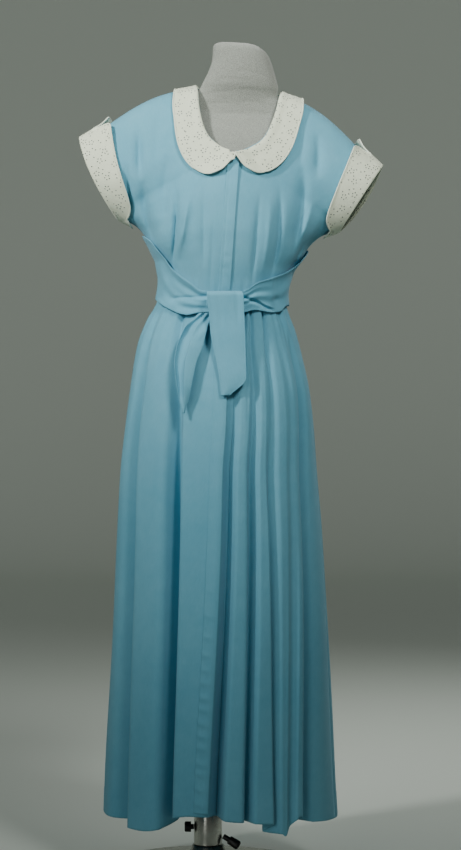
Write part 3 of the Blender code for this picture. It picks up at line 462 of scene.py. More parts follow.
# name, upper end, middle, lower end, half width, rise, how much steeper on the far side
FRONT_CREASES = (
    ("left dart", (-104, 1322), (-99, 1222), (-100, 1130), 8, -12.8, 1.7),
    ("left ridge", (-76, 1306), (-83, 1227), (-90, 1160), 9, 8.6, 1.0),
    ("right dart", (93, 1328), (97, 1222), (86, 1126), 9, -10.0, 1.7),
    ("right mid ridge", (74, 1310), (76, 1215), (70, 1134), 10, 4.9, 1.0),
    ("right inner", (54, 1312), (53, 1208), (51, 1118), 7, -6.2, 1.2),
    ("right broad trough", (121, 1396), (140, 1318), (124, 1168), 15, -10.8, 1.7),
    ("right armhole", (158, 1436), (162, 1388), (165, 1330), 11, -8.1, 0.9),
    ("right underarm fold", (188, 1282), (172, 1233), (142, 1186), 10, -10.1, 0.8),
    ("right underarm ridge", (160, 1304), (149, 1246), (134, 1196), 9, 6.8, 1.0),
    ("left armhole", (-183, 1424), (-178, 1366), (-172, 1304), 10, -10.8, 1.0),
    ("left underarm", (-167, 1332), (-160, 1256), (-134, 1184), 11, -12.2, 1.0),
    ("left by the cuff", (-204, 1352), (-195, 1290), (-184, 1236), 8, -8.1, 1.0),
    ("left of the middle", (-56, 1336), (-47, 1236), (-40, 1130), 10, -5.4, 1.3),
    ("left inner tuck", (-31, 1250), (-29, 1182), (-27, 1112), 6, -2.7, 1.0),
    ("left shoulder drag", (-146, 1466), (-146, 1408), (-143, 1336), 13, -4.1, 1.0),
    ("right shoulder drag", (120, 1460), (127, 1410), (131, 1350), 11, -3.2, 1.0),
    ("left chest fall", (-120, 1392), (-124, 1300), (-121, 1206), 12, -6.1, 0.8),
    ("left above the sash", (-152, 1200), (-124, 1168), (-92, 1136), 8, -13.0, 0.9),
    ("right above the sash", (152, 1226), (139, 1190), (120, 1148), 8, -13.0, 1.0),
)
# degrees round the waist, and the height of the line there
SLIT_LINE = (np.array([0.0, 14, 26, 38, 50]), np.array([1101.0, 1100, 1095, 1085, 1080]))
FOLD_LINE = (np.array([-60.0, -38, -24, -10, 0]), np.array([1086.0, 1090, 1092, 1095, 1096]))
# name, left x, right x, height, slope, sag, half width, rise
JERSEY_CREASES = (
    ("deep front crease", -38, 56, 1420, 0.05, 6, 2.6, -1.9),
    ("under it", -30, 20, 1408, 0.1, 3, 3, 0.8),
    ("low left", -46, 4, 1432, -0.08, 3, 3.0, -0.8),
    ("low right", 6, 60, 1440, -0.04, 4, 3.2, -0.8),
    ("middle long", -52, 40, 1452, 0.03, 5, 3.0, -1.0),
    ("middle right", 10, 66, 1462, -0.1, 3, 2.8, -0.8),
    ("upper left", -62, -4, 1470, 0.06, 4, 3.0, -0.9),
    ("upper right", 2, 64, 1480, -0.03, 5, 3.2, -1.0),
    ("neck root left", -66, 10, 1490, 0.12, 5, 3.4, -0.9),
    ("neck root right", -8, 70, 1504, -0.1, 5, 3.6, -0.8),
    ("neck low", -58, 30, 1516, 0.05, 4, 3.6, -0.7),
    ("neck middle", -30, 62, 1536, -0.05, 6, 4.0, -0.6),
)
CREASE_FADE_LOW = 0.35
CREASE_FADE_HIGH = 0.5
WAIST_GATHER_TOP = 1150
WAIST_GATHER_FADE = 45
WAIST_GATHER_HEIGHT = 0.9
WAIST_GATHER_MORE = 0.9
WAIST_GATHER_PLACE = 32
WAIST_GATHER_WIDTH = 26
COLLAR_STAND = ((0.12, 0.12, 1.6),)
COLLAR_WAVE = 0.7
COLLAR_ROW_W = 0.945
COLLAR_BINDING = 1.6 * MM
COLLAR_TURNS = 420
NOTCH_ANGLE = 0.30
NOTCH_HALF_WIDTH = 0.36
# humps below are given as middle, half width, height
CUFF_CORNERS = ((0.42, 0.3, 3.5), (-0.45, 0.4, 6.5))
CUFF_WAVE = 0.8
CUFF_FACING_LIFT = -1.6
CUFF_FOLD_W = 0.10
CUFF_FOLD_ROUND = 1.7
CUFF_ROW_W = 0.93
CUFF_BINDING = 1.5 * MM
CUFF_TURNS = 161
# steps in past the neckline, and how far down each goes
COLLAR_ROLL_IN = ((-0.2, 7.0), (1.0, 5.2), (1.3, 2.6), (0.9, 0.9))
BACK_CREASES = (
    ("left shoulder blade", (-96, 1420), (-92, 1330), (-70, 1190), 16, -4.0, 1.0),
    ("right shoulder blade", (104, 1416), (98, 1318), (74, 1180), 18, -4.5, 1.3),
    ("left inner", (-34, 1290), (-38, 1220), (-34, 1130), 10, -3.0, 1.0),
    ("right inner", (40, 1310), (36, 1230), (38, 1130), 11, -3.2, 1.0),
    ("left armhole", (-176, 1392), (-160, 1320), (-118, 1200), 14, -5.0, 1.2),
    ("right armhole", (180, 1384), (166, 1310), (120, 1196), 13, -5.5, 1.0),
    ("middle soft ridge", (4, 1400), (2, 1300), (3, 1180), 20, 1.8, 1.0),
)
# name, degrees from the front, half width, depth, share of the skirt's drop it fades over
GATHER_DIPS = (
    ("left of the left tail", -31, 2.2, 7.5, 0.15), ("beside the left tail", -8.5, 1.6, 7.0, 0.13),
    ("right of the tail", 17.0, 1.3, 6.5, 0.16), ("second right", 22.7, 1.1, 5.0, 0.12),
    ("third right", 35.0, 1.9, 7.5, 0.18), ("far right", 58.0, 2.6, 4.0, 0.12),
    ("left side", -62.0, 3.0, 3.5, 0.14), ("left back", -118.0, 2.4, 5.0, 0.15),
    ("back one", -152.0, 1.9, 6.0, 0.16), ("back two", 171.0, 1.7, 5.5, 0.13),
    ("back three", 141.0, 2.3, 6.5, 0.17), ("right back", 112.0, 2.1, 4.5, 0.12),
)
# name, degrees at the waist, degrees at the hem, left width, right width, depth, start
LONG_VALLEYS = (
    ("left of the broad fold", -62.0, -58.0, 9.0, 3.2, 17.0, 0.10),
    ("left of the placket fold", -26.5, -30.0, 3.6, 3.0, 10.0, 0.08),
    ("right of the placket", 8.5, -2.4, 2.6, 3.2, 6.0, 0.08),
    ("between the right folds", 22.0, 13.2, 2.2, 2.6, 7.0, 0.08),
    ("right rim", 64.0, 48.0, 3.0, 9.0, 15.0, 0.10),
)
SKIRT_WAVE = 0.9
GATHER_HEIGHT = 2.3
GATHER_DEPTH = 1.35
GATHER_FADE = 0.085
VALLEY_FADE = 0.35
HEM_TURN_DROP = 0.952
HEM_TURN_STEP = 0.5
HEM_FLAP_ANGLE = 31.0
HEM_FLAP_WIDTH = 5.5
HEM_FLAP_RISE = 8.0
PUCKER_HEIGHTS = (536, 486, 444, 408, 379, 353, 324, 302, 274, 250, 227, 197, 179, 149, 122)
PUCKER_SIZE = 3.2
PUCKER_WIDTH = 5.5
PUCKER_TOP = 750
PUCKER_TILT = 7.0
PUCKER_PLACE = ((0.3, 0.4, 1.0),)
PLACKET_MARKS = ((1172, 7, 1.3), (1150, 5, 0.9), (1232, 6, 0.7))
PLACKET_MARK_SHARE = 0.7
PLACKET_WAVE = 0.5
PLACKET_SEWN_LINE = ((0.12, 0.05, -0.8),)
PLACKET_SEWN_RISE = 0.4
PLACKET_FREE_RISE = 2.0
SKIRT_PLACKET_SEWN_RISE = 0.9
SKIRT_PLACKET_RISE = 2.8
BAND_ROWS = (0.05, 0.95)
TAIL_ROWS = (0.06, 0.94)
TAIL_STEPS = 110
SASH_BUNCH = 0.9
SASH_SLIT_STEP = 3.2
SASH_SLIT_EDGES = ((-2.5, 2.2, -2.6), (-9, 4, 1.2))
SASH_LOBE = ((-11, 8, 2.8), (0, 3, -2.4))
SASH_DIMPLE = (52, 1101)
SASH_DIMPLE_DEPTH = 2.6
SASH_DRAG = 3.2
SASH_HEM_STEP = 0.35
KNOT_ARCH = 1.2
TAIL_PULLS = ((0.2, 0.09, 0.8), (0.46, 0.12, 0.5))
TAIL_TUCK = ((0.82, 0.08, -1.6),)
TAIL_HEM_STEP = 0.5
TAIL_STRIP_RISE = 5.5
TAIL_HOLLOW_DEPTH = 8.0
TAIL_GATHER = 1.8
TAIL_EDGE_RISE = 0.7
# radius and height pairs
FOOT_PROFILE = (
    (186, 0), (189.5, 0.8), (190, 2), (190, 6.5), (189, 7.6), (187, 8.1), (150, 9.2), (110, 10.2),
    (80, 12.2), (60, 15), (50, 19), (42, 24.5), (37.5, 31), (34, 38), (31.5, 42.5), (30, 45.2),
    (29, 46))
TUBE_PROFILE = ((26, 46.3), (27, 47), (27, 148.6), (26.4, 149.7), (25.5, 150), (18, 150))
POST_PROFILE = ((17, 150.3), (17, 754.6))
SOCKET_PROFILE = ((0, 756), (32, 756), (34, 758), (34, 797), (33, 799.5), (0, 799.5))
# node, start, end, radii at shares of the length
KNOBS = (
    ("clamp_knob_left", (-SLEEVE_TUBE_RADIUS - 0.3, -4, 80), (-45, -4, 80),
     ((0, 5), (0.28, 5), (0.30, 9.5), (0.34, 10), (0.88, 10), (0.94, 9.6), (1, 8))),
    ("clamp_knob_right", (SLEEVE_TUBE_RADIUS + 2.6, -6, 62), (60, -12, 44),
     ((0, 5), (0.33, 5), (0.38, 7.6), (0.42, 8), (0.88, 9), (0.95, 8.4), (1, 6))),
)


def crease_height(x, z, creases):
    """Sum of soft troughs and ridges.

    Each one follows a curve x(z) through three points and fades out towards both ends. Across
    it is a broad bell with a narrow one on top, steeper on the far side by the last column.
    """
    height = np.zeros(np.broadcast(x, z).shape)
    for _, high, middle, low, half_width, rise, steep in creases:
        knots = np.array([low[1], middle[1], high[1]], dtype=float)
        line = through(z, knots, np.array([low[0], middle[0], high[0]], dtype=float))
        share = (z - low[1]) / (high[1] - low[1])
        ends = smooth_step(share / CREASE_FADE_LOW) * smooth_step((1 - share) / CREASE_FADE_HIGH)
        side = (x - line) / half_width
        side = np.where(side > 0, side * steep, side)
        height += rise * ends * (0.6 * np.exp(-side ** 2) + 0.4 * np.exp(-6 * side ** 2))
    return height


def band_layout(points):
    """Flat layout of a curved band.

    Its middle line is walked, and turned by how much longer the outer edge's steps are than
    the inner edge's, over the band's width.
    """
    step = np.linalg.norm(np.diff(points, axis=1), axis=-1)
    out = walked(points, 0)
    width = out[-1].mean()
    turn = np.concatenate(([0.0], np.cumsum((step[-1] - step[0]) / width)))
    middle = np.concatenate(([0.0], step[len(step) // 2]))
    x, y = np.cumsum(middle * np.cos(turn)), np.cumsum(middle * np.sin(turn))
    away = out - width / 2
    return np.stack((x + away * np.sin(turn), y - away * np.cos(turn)), -1)


def gathers(along):
    """Uneven waves from -1 to 1 along a length in millimetres: three sines that never agree."""
    wave = np.sin(along / 3.1 + 1.3 * np.sin(along / 17)) + 0.7 * np.sin(along / 5.3 + 2.0)
    return (wave + 0.5 * np.sin(along / 9.7 + 0.6)) / 2.2


def walked(points, axis):
    """Distance walked through a grid of points along one axis, starting from nought."""
    steps = np.linalg.norm(np.diff(points, axis=axis), axis=-1)
    first = np.zeros_like(np.take(steps, [0], axis=axis))
    return np.concatenate((first, np.cumsum(steps, axis=axis)), axis=axis)


def in_scene(name, data):
    """New object of a mesh, lamp or camera, linked to the scene."""
    thing = bpy.data.objects.new(name, data)
    bpy.context.scene.collection.objects.link(thing)
    return thing


def finished(name, mesh, look, wall=0.0, replaces=()):
    """Object of a mesh with its look and its cloth wall, riding the one body."""
    mesh.materials.append(look)
    mesh.shade_smooth()
    thing = in_scene(name, mesh)
    if wall > 0:
        solid = thing.modifiers.new("wall", "SOLIDIFY")
        solid.thickness = wall
        solid.offset = -1
    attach(thing, "root")
    if replaces:
        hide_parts(*replaces)
    return thing


def surface(name, grids, look, wall=0.0, replaces=(), band=False):
    """Piece through one or more grids of points in metres, welded where they meet.

    Each grid is (points, flip). The UV map holds the distances walked along the rows and
    between them, in metres, or a band's flat layout. A wall above nought goes in from the face.
    """
    corners, quads, uvs, start = [], [], [], 0
    for points, flip in grids:
        rows, columns = points.shape[:2]
        index = np.arange(rows * columns).reshape(rows, columns) + start
        quad = np.stack((index[:-1, :-1], index[:-1, 1:], index[1:, 1:], index[1:, :-1]), -1)
        quad = quad.reshape(-1, 4)
        if flip:
            quad = quad[:, ::-1]
        side = -1 if flip else 1
        across, along = walked(points, 1) * side, walked(points, 0)
        layout = band_layout(points) if band else np.stack((across, along), -1)
        uvs.append(layout.reshape(-1, 2)[quad.ravel() - start])
        corners.append(points.reshape(-1, 3))
        quads.append(quad)
        start += rows * columns
    mesh = bpy.data.meshes.new(name)
    mesh.from_pydata(np.concatenate(corners).tolist(), [], np.concatenate(quads).tolist())
    layer = mesh.uv_layers.new(name="cloth")
    layer.data.foreach_set("uv", np.concatenate(uvs).astype(np.float32).ravel())
    shape = bmesh.new()
    shape.from_mesh(mesh)
    bmesh.ops.remove_doubles(shape, verts=shape.verts, dist=WELD)
    shape.to_mesh(mesh)
    shape.free()
    return finished(name, mesh, look, wall, replaces)


def sheet_of(grids):
    """Reckon the width, length and area that a cloth piece's own grids unroll to; nothing uses
    them.
    """
    width = max(walked(points, 1).max() for points, _ in grids)
    length = max(walked(points, 0).max() for points, _ in grids)
    area = 0.0
    for points, _ in grids:
        first = points[1:, :-1] - points[:-1, :-1]
        second = points[:-1, 1:] - points[:-1, :-1]
        area += np.linalg.norm(np.cross(first, second), axis=-1).sum()
    width *= len(grids)
    area = min(area, width * length)


def blue_sheet(name, grids):
    """Sheet of blue cotton that stands for the solid of the same name."""
    piece = surface(name + "_cloth", grids, BLUE_COTTON, CLOTH_WALL, [name])
    sheet_of(grids)


def eyelet_sheet(name, points, flip):
    """Band of eyelet cotton that stands for the solid of the same name, with its grids."""
    grids = [(points, flip)]
    return grids, surface(name + "_cloth", grids, WHITE_EYELET, EYELET_WALL,
                          [name], True)


def strand(name, path, radius, look, sides=8, closed=False, flat=1.0):
    """Round or flattened cord along a path: a ring of points across the path at each step."""
    path = np.asarray(path, dtype=float)
    if closed:
        tangent = np.roll(path, -1, axis=0) - np.roll(path, 1, axis=0)
    else:
        tangent = np.gradient(path, axis=0)
    tangent = unit(tangent)
    up = unit(TOWARDS_VIEWER - tangent * np.sum(TOWARDS_VIEWER * tangent, axis=1, keepdims=True))
    side = np.cross(tangent, up)
    turn = full_turn(sides + 1)
    ring = path[:, None] + radius * (np.cos(turn)[None, :, None] * side[:, None]
                                     + flat * np.sin(turn)[None, :, None] * up[:, None])
    if closed:
        ring = np.concatenate((ring, ring[:1]))
    else:
        ring = np.concatenate((np.repeat(path[:1, None], sides + 1, 1), ring,
                               np.repeat(path[-1:, None], sides + 1, 1)))
    return surface(name, [(ring, False)], look)


def read_along(where, walked_by, values):
    """Rows of values read through straight at distances walked by a path."""
    return np.stack([np.interp(where, walked_by, values[:, i]) for i in range(3)], -1)


def stitches(name, paths, look):
    """Rows of short sewn stitches: each one is a slim eight-faced bead along its path."""
    corners, faces = [], []
    bead = np.array([(-1, 0, 0), (0, 1, 0), (0, 0, 1), (0, -1, 0), (0, 0, -1), (1, 0, 0)], float)
    shape = np.array([(0, 2, 1), (0, 3, 2), (0, 4, 3), (0, 1, 4), (5, 1, 2), (5, 2, 3), (5, 3, 4),
                      (5, 4, 1)])
    for path, normals in paths:
        path, normals = np.asarray(path, float), np.asarray(normals, float)
        walked_by = np.concatenate(([0], np.cumsum(np.linalg.norm(np.diff(path, axis=0), axis=1))))
        where = np.arange(STITCH_PITCH, walked_by[-1] - STITCH_PITCH, STITCH_PITCH)
        place = read_along(where, walked_by, path)
        along = unit(read_along(where + STITCH_PITCH / 2, walked_by, path) - place)
        up = read_along(where, walked_by, normals)
        up = unit(up - along * np.sum(up * along, axis=1, keepdims=True))
        side = np.cross(along, up)
        beads = (place[:, None] + bead[None, :, :1] * along[:, None] * STITCH_LENGTH / 2
                 + bead[None, :, 1:2] * side[:, None] * STITCH_RADIUS
                 + bead[None, :, 2:] * up[:, None] * STITCH_RADIUS)
        base = (np.arange(len(where)) * 6 + sum(len(c) for c in corners))[:, None, None]
        faces.append((shape[None] + base).reshape(-1, 3))
        corners.append(beads.reshape(-1, 3))
    mesh = bpy.data.meshes.new(name)
    mesh.from_pydata(np.concatenate(corners).tolist(), [], np.concatenate(faces).tolist())
    return finished(name, mesh, look)


def body_points(points):
    """Lean upright millimetre points into metres of the frame."""
    return lean(*np.moveaxis(points, -1, 0))


# materials


def linear(red, green, blue):
    """Colour from 0 to 255 screen values as linear light."""
    value = np.array([red, green, blue]) / 255.0
    value = np.where(value <= 0.04045, value / 12.92, ((value + 0.055) / 1.055) ** 2.4)
    return tuple(value) + (1.0,)


class Wiring:
    """Small helper that adds nodes to one tree and joins them by socket."""

    def __init__(self, tree):
        self.tree = tree

    def node(self, kind, inputs=(), **settings):
        made = self.tree.nodes.new(kind)
        for name, value in settings.items():
            setattr(made, name, value)
        for name, value in dict(inputs).items():
            self.put(value, made.inputs[name])
        return made

    def put(self, value, socket):
        if isinstance(value, bpy.types.NodeSocket):
            self.tree.links.new(value, socket)
        else:
            socket.default_value = value

    def math(self, operation, first, second=0.0, third=0.0):
        made = self.node("ShaderNodeMath", {0: first, 1: second, 2: third}, operation=operation)
        return made.outputs[0]

    def vector(self, operation, first, second):
        made = self.node("ShaderNodeVectorMath", {0: first, 1: second}, operation=operation)
        return made.outputs["Vector"]

    def noise(self, vector, scale, detail=2.0, roughness=0.5):
        made = self.node("ShaderNodeTexNoise", {"Vector": vector, "Scale": scale, "Detail": detail,
                                                "Roughness": roughness})
        return made.outputs["Fac"]

    def spread(self, value, low, high, to_low=0.0, to_high=1.0):
        """Value stretched from one range to another and kept inside it."""
        made = self.node("ShaderNodeMapRange", {0: value, 1: low, 2: high, 3: to_low, 4: to_high})
        return made.outputs[0]

    def mix(self, factor, first, second, blend="MIX"):
        made = self.node("ShaderNodeMix", data_type="RGBA", blend_type=blend)
        self.put(factor, made.inputs["Factor"])
        self.put(first, made.inputs["A"])
        self.put(second, made.inputs["B"])
        return made.outputs["Result"]


def group(name, inputs, outputs, fill):
    """Node group with named sockets, filled in by a function of its wiring, inputs and outputs."""
    tree = bpy.data.node_groups.new(name, "ShaderNodeTree")
    for kind, label, value in inputs:
        socket = tree.interface.new_socket(label, in_out="INPUT", socket_type=kind)
        if value is not None:
            socket.default_value = value
    for kind, label in outputs:
        tree.interface.new_socket(label, in_out="OUTPUT", socket_type=kind)
    wiring = Wiring(tree)
    start, end = wiring.node("NodeGroupInput"), wiring.node("NodeGroupOutput")
    fill(wiring, start.outputs, end.inputs)
    return tree


def fill_weave(wiring, given, result):
    """Plain weave: two sets of rounded threads, with the one on top changing like a chessboard."""
    places = wiring.node("ShaderNodeSeparateXYZ", {0: given["Vector"]}).outputs
    pitch = wiring.math("DIVIDE", math.pi, given["Thread pitch"])
    across = wiring.math("SINE", wiring.math("MULTIPLY", places[0], pitch))
    along = wiring.math("SINE", wiring.math("MULTIPLY", places[1], pitch))
    top = wiring.math("GREATER_THAN", wiring.math("MULTIPLY", across, along), 0.0)
    warp, weft = wiring.math("ABSOLUTE", across), wiring.math("ABSOLUTE", along)
    lean_to = wiring.math("MULTIPLY", wiring.math("SUBTRACT", weft, warp), top)
    height = wiring.math("ADD", warp, lean_to)
    slub = wiring.vector("MULTIPLY", given["Vector"], (900, 60, 1))
    thick = wiring.spread(wiring.noise(slub, 1.0, 1.0), 0.35, 0.75)
    wiring.put(wiring.math("MULTIPLY_ADD", thick, 0.35, height), result["Height"])
    wiring.put(thick, result["Slub"])


def fill_tone(wiring, given, result):
    """Slow changes of tone over a cloth, and faint handling creases."""
    broad = wiring.noise(given["Vector"], 4.0, 2.0)
    fine = wiring.noise(given["Vector"], 45.0, 3.0, 0.6)
    tone = wiring.math("MULTIPLY_ADD", fine, 0.35, wiring.math("MULTIPLY", broad, 0.65))
    wiring.put(wiring.spread(tone, 0.3, 0.7), result["Tone"])
    rumple = wiring.noise(given["Vector"], 26.0, 2.0, 0.45)
    wiring.put(rumple, result["Rumple"])


def fill_eyelets(wiring, given, result):
    """Small scattered flowers of five round holes, with single holes between them.

    A cell texture gives each flower's own middle and turn. The angle about the middle, folded
    into a fifth of a turn, gives how far the nearest petal's centre is.
    """
    def scattered(repeat, loose):
        cells = wiring.node("ShaderNodeTexVoronoi", voronoi_dimensions="2D")
        wiring.put(given["Vector"], cells.inputs["Vector"])
        wiring.put(loose, cells.inputs["Randomness"])
        wiring.put(wiring.math("DIVIDE", 1.0, repeat), cells.inputs["Scale"])
        away = wiring.vector("SUBTRACT", given["Vector"], cells.outputs["Position"])
        parts = wiring.node("ShaderNodeSeparateXYZ", {0: away}).outputs
        far = wiring.math("SQRT", wiring.math("MULTIPLY_ADD", parts[0], parts[0],
                                              wiring.math("MULTIPLY", parts[1], parts[1])))
        own = wiring.node("ShaderNodeSeparateColor", {0: cells.outputs["Color"]}).outputs
        return parts, far, own

    hole, petal = given["Hole radius"], given["Petal radius"]
    parts, far, own = scattered(given["Repeat"], 0.45)
    fifth = 2 * math.pi / 5
    round_turn = wiring.math("ARCTAN2", parts[1], parts[0])
    turns = wiring.math("ADD", wiring.math("DIVIDE", round_turn, fifth),
                        wiring.math("MULTIPLY", own[0], 5.0))
    off = wiring.math("SUBTRACT", turns, wiring.math("ROUND", turns))
    off = wiring.math("MULTIPLY", off, fifth)
    side = wiring.math("MULTIPLY", far, wiring.math("SINE", off))
    ahead = wiring.math("SUBTRACT", wiring.math("MULTIPLY", far, wiring.math("COSINE", off)), petal)
    petals = wiring.math("SQRT", wiring.math("MULTIPLY_ADD", side, side,
                                             wiring.math("MULTIPLY", ahead, ahead)))
    single = scattered(wiring.math("MULTIPLY", given["Repeat"], 0.5), 1.0)[1]
    near = wiring.math("LESS_THAN", far, wiring.math("MULTIPLY", petal, 1.9))
    nearest = wiring.math("MINIMUM", petals, wiring.math("ADD", single, near))
    wiring.put(wiring.spread(nearest, wiring.math("MULTIPLY", hole, 0.75),
                             wiring.math("MULTIPLY", hole, 1.15), 1.0, 0.0), result["Hole"])
    ring = wiring.math("SUBTRACT", nearest, wiring.math("MULTIPLY", hole, 1.55))
    ring = wiring.math("ABSOLUTE", ring)
    rim_width = wiring.math("MULTIPLY", hole, 0.6)
    wiring.put(wiring.spread(ring, 0.0, rim_width, 1.0, 0.0), result["Rim"])


def fill_heather(wiring, given, result):
    """Flecks of light and dark yarn, drawn out along the knitted rows, and the knit itself."""
    stretched = wiring.vector("MULTIPLY", given["Vector"], (520, 520, 1500))
    wiring.put(wiring.spread(wiring.noise(stretched, 1.0, 2.0, 0.7), 0.36, 0.64), result["Fleck"])
    blotch = wiring.noise(given["Vector"], 90.0, 3.0, 0.65)
    wiring.put(wiring.spread(blotch, 0.3, 0.7), result["Blotch"])
    places = wiring.node("ShaderNodeSeparateXYZ", {0: given["Vector"]}).outputs
    rows = wiring.math("SINE", wiring.math("MULTIPLY", places[2], 2 * math.pi / 0.0011))
    wiring.put(wiring.math("MULTIPLY_ADD", rows, 0.25, wiring.noise(stretched, 1.0, 2.0)),
               result["Height"])


def fill_handling(wiring, given, result):
    """Finger marks and dulled patches on metal."""
    patch = wiring.noise(given["Vector"], 12.0, 4.0, 0.6)
    wiring.put(wiring.spread(patch, 0.4, 0.7), result["Dull"])
    brushed = wiring.vector("MULTIPLY", given["Vector"], (900, 900, 12))
    wiring.put(wiring.noise(brushed, 1.0, 2.0), result["Scratch"])


VECTOR, NUMBER = "NodeSocketVector", "NodeSocketFloat"
WEAVE = group("plain weave", ((VECTOR, "Vector", None), (NUMBER, "Thread pitch", 0.0005)),
              ((NUMBER, "Height"), (NUMBER, "Slub")), fill_weave)
TONE = group("cloth tone", ((VECTOR, "Vector", None),), ((NUMBER, "Tone"), (NUMBER, "Rumple")),
             fill_tone)
EYELETS = group("eyelet flowers",
                ((VECTOR, "Vector", None), (NUMBER, "Repeat", 0.027),
                 (NUMBER, "Petal radius", 0.0046), (NUMBER, "Hole radius", 0.00115)),
                ((NUMBER, "Hole"), (NUMBER, "Rim")), fill_eyelets)
HEATHER = group("heather jersey", ((VECTOR, "Vector", None),),
                ((NUMBER, "Fleck"), (NUMBER, "Blotch"), (NUMBER, "Height")), fill_heather)
HANDLING = group("handled metal", ((VECTOR, "Vector", None),),
                 ((NUMBER, "Dull"), (NUMBER, "Scratch")), fill_handling)


def material(name, roughness, metallic=0.0, **sockets):
    """New material with its Principled shader, wiring and texture places."""
    made = bpy.data.materials.new(name)
    made.use_nodes = True
    wiring = Wiring(made.node_tree)
    shader = made.node_tree.nodes["Principled BSDF"]
    shader.inputs["Roughness"].default_value = roughness
    shader.inputs["Metallic"].default_value = metallic
    for label, value in sockets.items():
        shader.inputs[label.replace("_", " ")].default_value = value
    places = wiring.node("ShaderNodeTexCoord").outputs
    return made, wiring, shader, places


def use(wiring, tree, vector, **values):
    """One copy of a node group in a material."""
    made = wiring.node("ShaderNodeGroup", node_tree=tree)
    wiring.put(vector, made.inputs["Vector"])
    for label, value in values.items():
        made.inputs[label.replace("_", " ")].default_value = value
    return made.outputs


def bump(wiring, shader, height, distance, strength=1.0):
    made = wiring.node("ShaderNodeBump", {"Height": height, "Strength": strength,
                                          "Distance": distance})
    wiring.put(made.outputs["Normal"], shader.inputs["Normal"])


def cotton(name, light, dark, pitch=0.00045):
    """Matte plain-woven cotton: tone from dark to light, weave and faint rumples as bump."""
    made, wiring, shader, places = material(name, 0.86, Sheen_Weight=0.1, Sheen_Roughness=0.5,
                                            Specular_IOR_Level=0.2)
    weave = use(wiring, WEAVE, places["UV"], Thread_pitch=pitch)
    tone = use(wiring, TONE, places["Object"])
    colour = wiring.mix(tone["Tone"], dark, light)
    shade = wiring.spread(weave["Slub"], 0.0, 1.0, 0.97, 1.03)
    grey = wiring.node("ShaderNodeCombineColor", {0: shade, 1: shade, 2: shade}).outputs[0]
    wiring.put(wiring.mix(1.0, colour, grey, "MULTIPLY"), shader.inputs["Base Color"])
    height = wiring.math("MULTIPLY_ADD", weave["Height"], 0.06, tone["Rumple"])
    bump(wiring, shader, height, 0.0012)
    return made


def eyelet_cotton(name):
    """White embroidered eyelet cotton: holes of painted shade, raised rims with a painted
    highlight.
    """
    made, wiring, shader, places = material(name, 0.88, Sheen_Weight=0.2, Sheen_Roughness=0.5,
                                            Specular_IOR_Level=0.25)
    weave = use(wiring, WEAVE, places["UV"], Thread_pitch=0.0005)
    tone = use(wiring, TONE, places["Object"])
    eyelets = use(wiring, EYELETS, places["UV"])
    ground = wiring.mix(tone["Tone"], linear(220, 227, 202), linear(234, 241, 218))
    # painted highlight: a lighter ring of colour on the raised rim round each hole
    rim = wiring.math("MULTIPLY", eyelets["Rim"], 0.15)
    rim_highlighted = wiring.mix(rim, ground, linear(244, 244, 232))
    # painted shade: each hole is coloured dark, standing in for the shade down the hole
    wiring.put(wiring.mix(wiring.math("MULTIPLY", eyelets["Hole"], 0.95), rim_highlighted,
                          linear(78, 96, 90)), shader.inputs["Base Color"])
    raised = wiring.math("SUBTRACT", rim, eyelets["Hole"])
    height = wiring.math("ADD", raised, wiring.math("MULTIPLY_ADD", weave["Height"], 0.06,
                                                    tone["Rumple"]))
    bump(wiring, shader, height, 0.0009)
    return made


def jersey_cloth(name):
    """Grey heather jersey: light and dark flecks over a knitted ground."""
    made, wiring, shader, places = material(name, 0.95, Sheen_Weight=0.4, Sheen_Roughness=0.6,
                                            Specular_IOR_Level=0.2)
    heather = use(wiring, HEATHER, places["Object"])
    ground = wiring.mix(heather["Fleck"], linear(118, 122, 116), linear(176, 180, 170))
    wiring.put(wiring.mix(wiring.math("MULTIPLY", heather["Blotch"], 0.35), ground,
                          linear(140, 144, 136)), shader.inputs["Base Color"])
    bump(wiring, shader, heather["Height"], 0.0006)
    return made


def hard_look(name, colour, roughness, metallic):
    """Handled plated steel or moulded plastic, a little dulled in patches."""
    made, wiring, shader, places = material(name, roughness, metallic)
    shader.inputs["Base Color"].default_value = colour
    handled = use(wiring, HANDLING, places["Object"])
    rough = wiring.spread(handled["Dull"], 0.0, 1.0, roughness, roughness + 0.2)
    wiring.put(rough, shader.inputs["Roughness"])
    if metallic:
        bump(wiring, shader, handled["Scratch"], 0.0001, 0.4)
    else:
        bump(wiring, shader, wiring.noise(places["Object"], 900.0), 0.0001, 0.5)
    return made


BLUE_COTTON = cotton("blue cotton", linear(115, 180, 202), linear(98, 167, 192))
BLUE_THREAD = cotton("blue thread", linear(130, 190, 210), linear(120, 182, 202), 0.0003)
WHITE_EYELET = eyelet_cotton("white eyelet cotton")
WHITE_BINDING = cotton("white binding", linear(238, 245, 228), linear(226, 234, 212), 0.0004)
JERSEY = jersey_cloth("grey heather jersey")
STEEL = hard_look("stand metal", linear(190, 190, 182), 0.22, 1.0)
KNOB = hard_look("knob black", linear(22, 22, 22), 0.42, 0.0)


# bodice


def bodice_cloth(t, v, hand, facing):
    """Bodice point with the smaller creases, and with gathers that die out above the waist."""
    points = bodice(t, v, hand, facing)
    x, z = points[..., 0], points[..., 2]
    rise = crease_height(x, z, FRONT_CREASES if facing < 0 else BACK_CREASES)
    from_middle = x + WAIST_GATHER_PLACE * np.sign(x)
    near_middle = 1.0 + WAIST_GATHER_MORE * bell(from_middle, WAIST_GATHER_WIDTH)
    rise += (WAIST_GATHER_HEIGHT * near_middle * gathers(x * 1.5)
             * smooth_step((WAIST_GATHER_TOP - z) / WAIST_GATHER_FADE))
    edge = smooth_step((1 - t) * 9) * smooth_step(v * 40)
    if facing < 0:
        edge = edge * smooth_step((x * hand - 6) / 14)
    points[..., 1] += facing * rise * edge
    return points


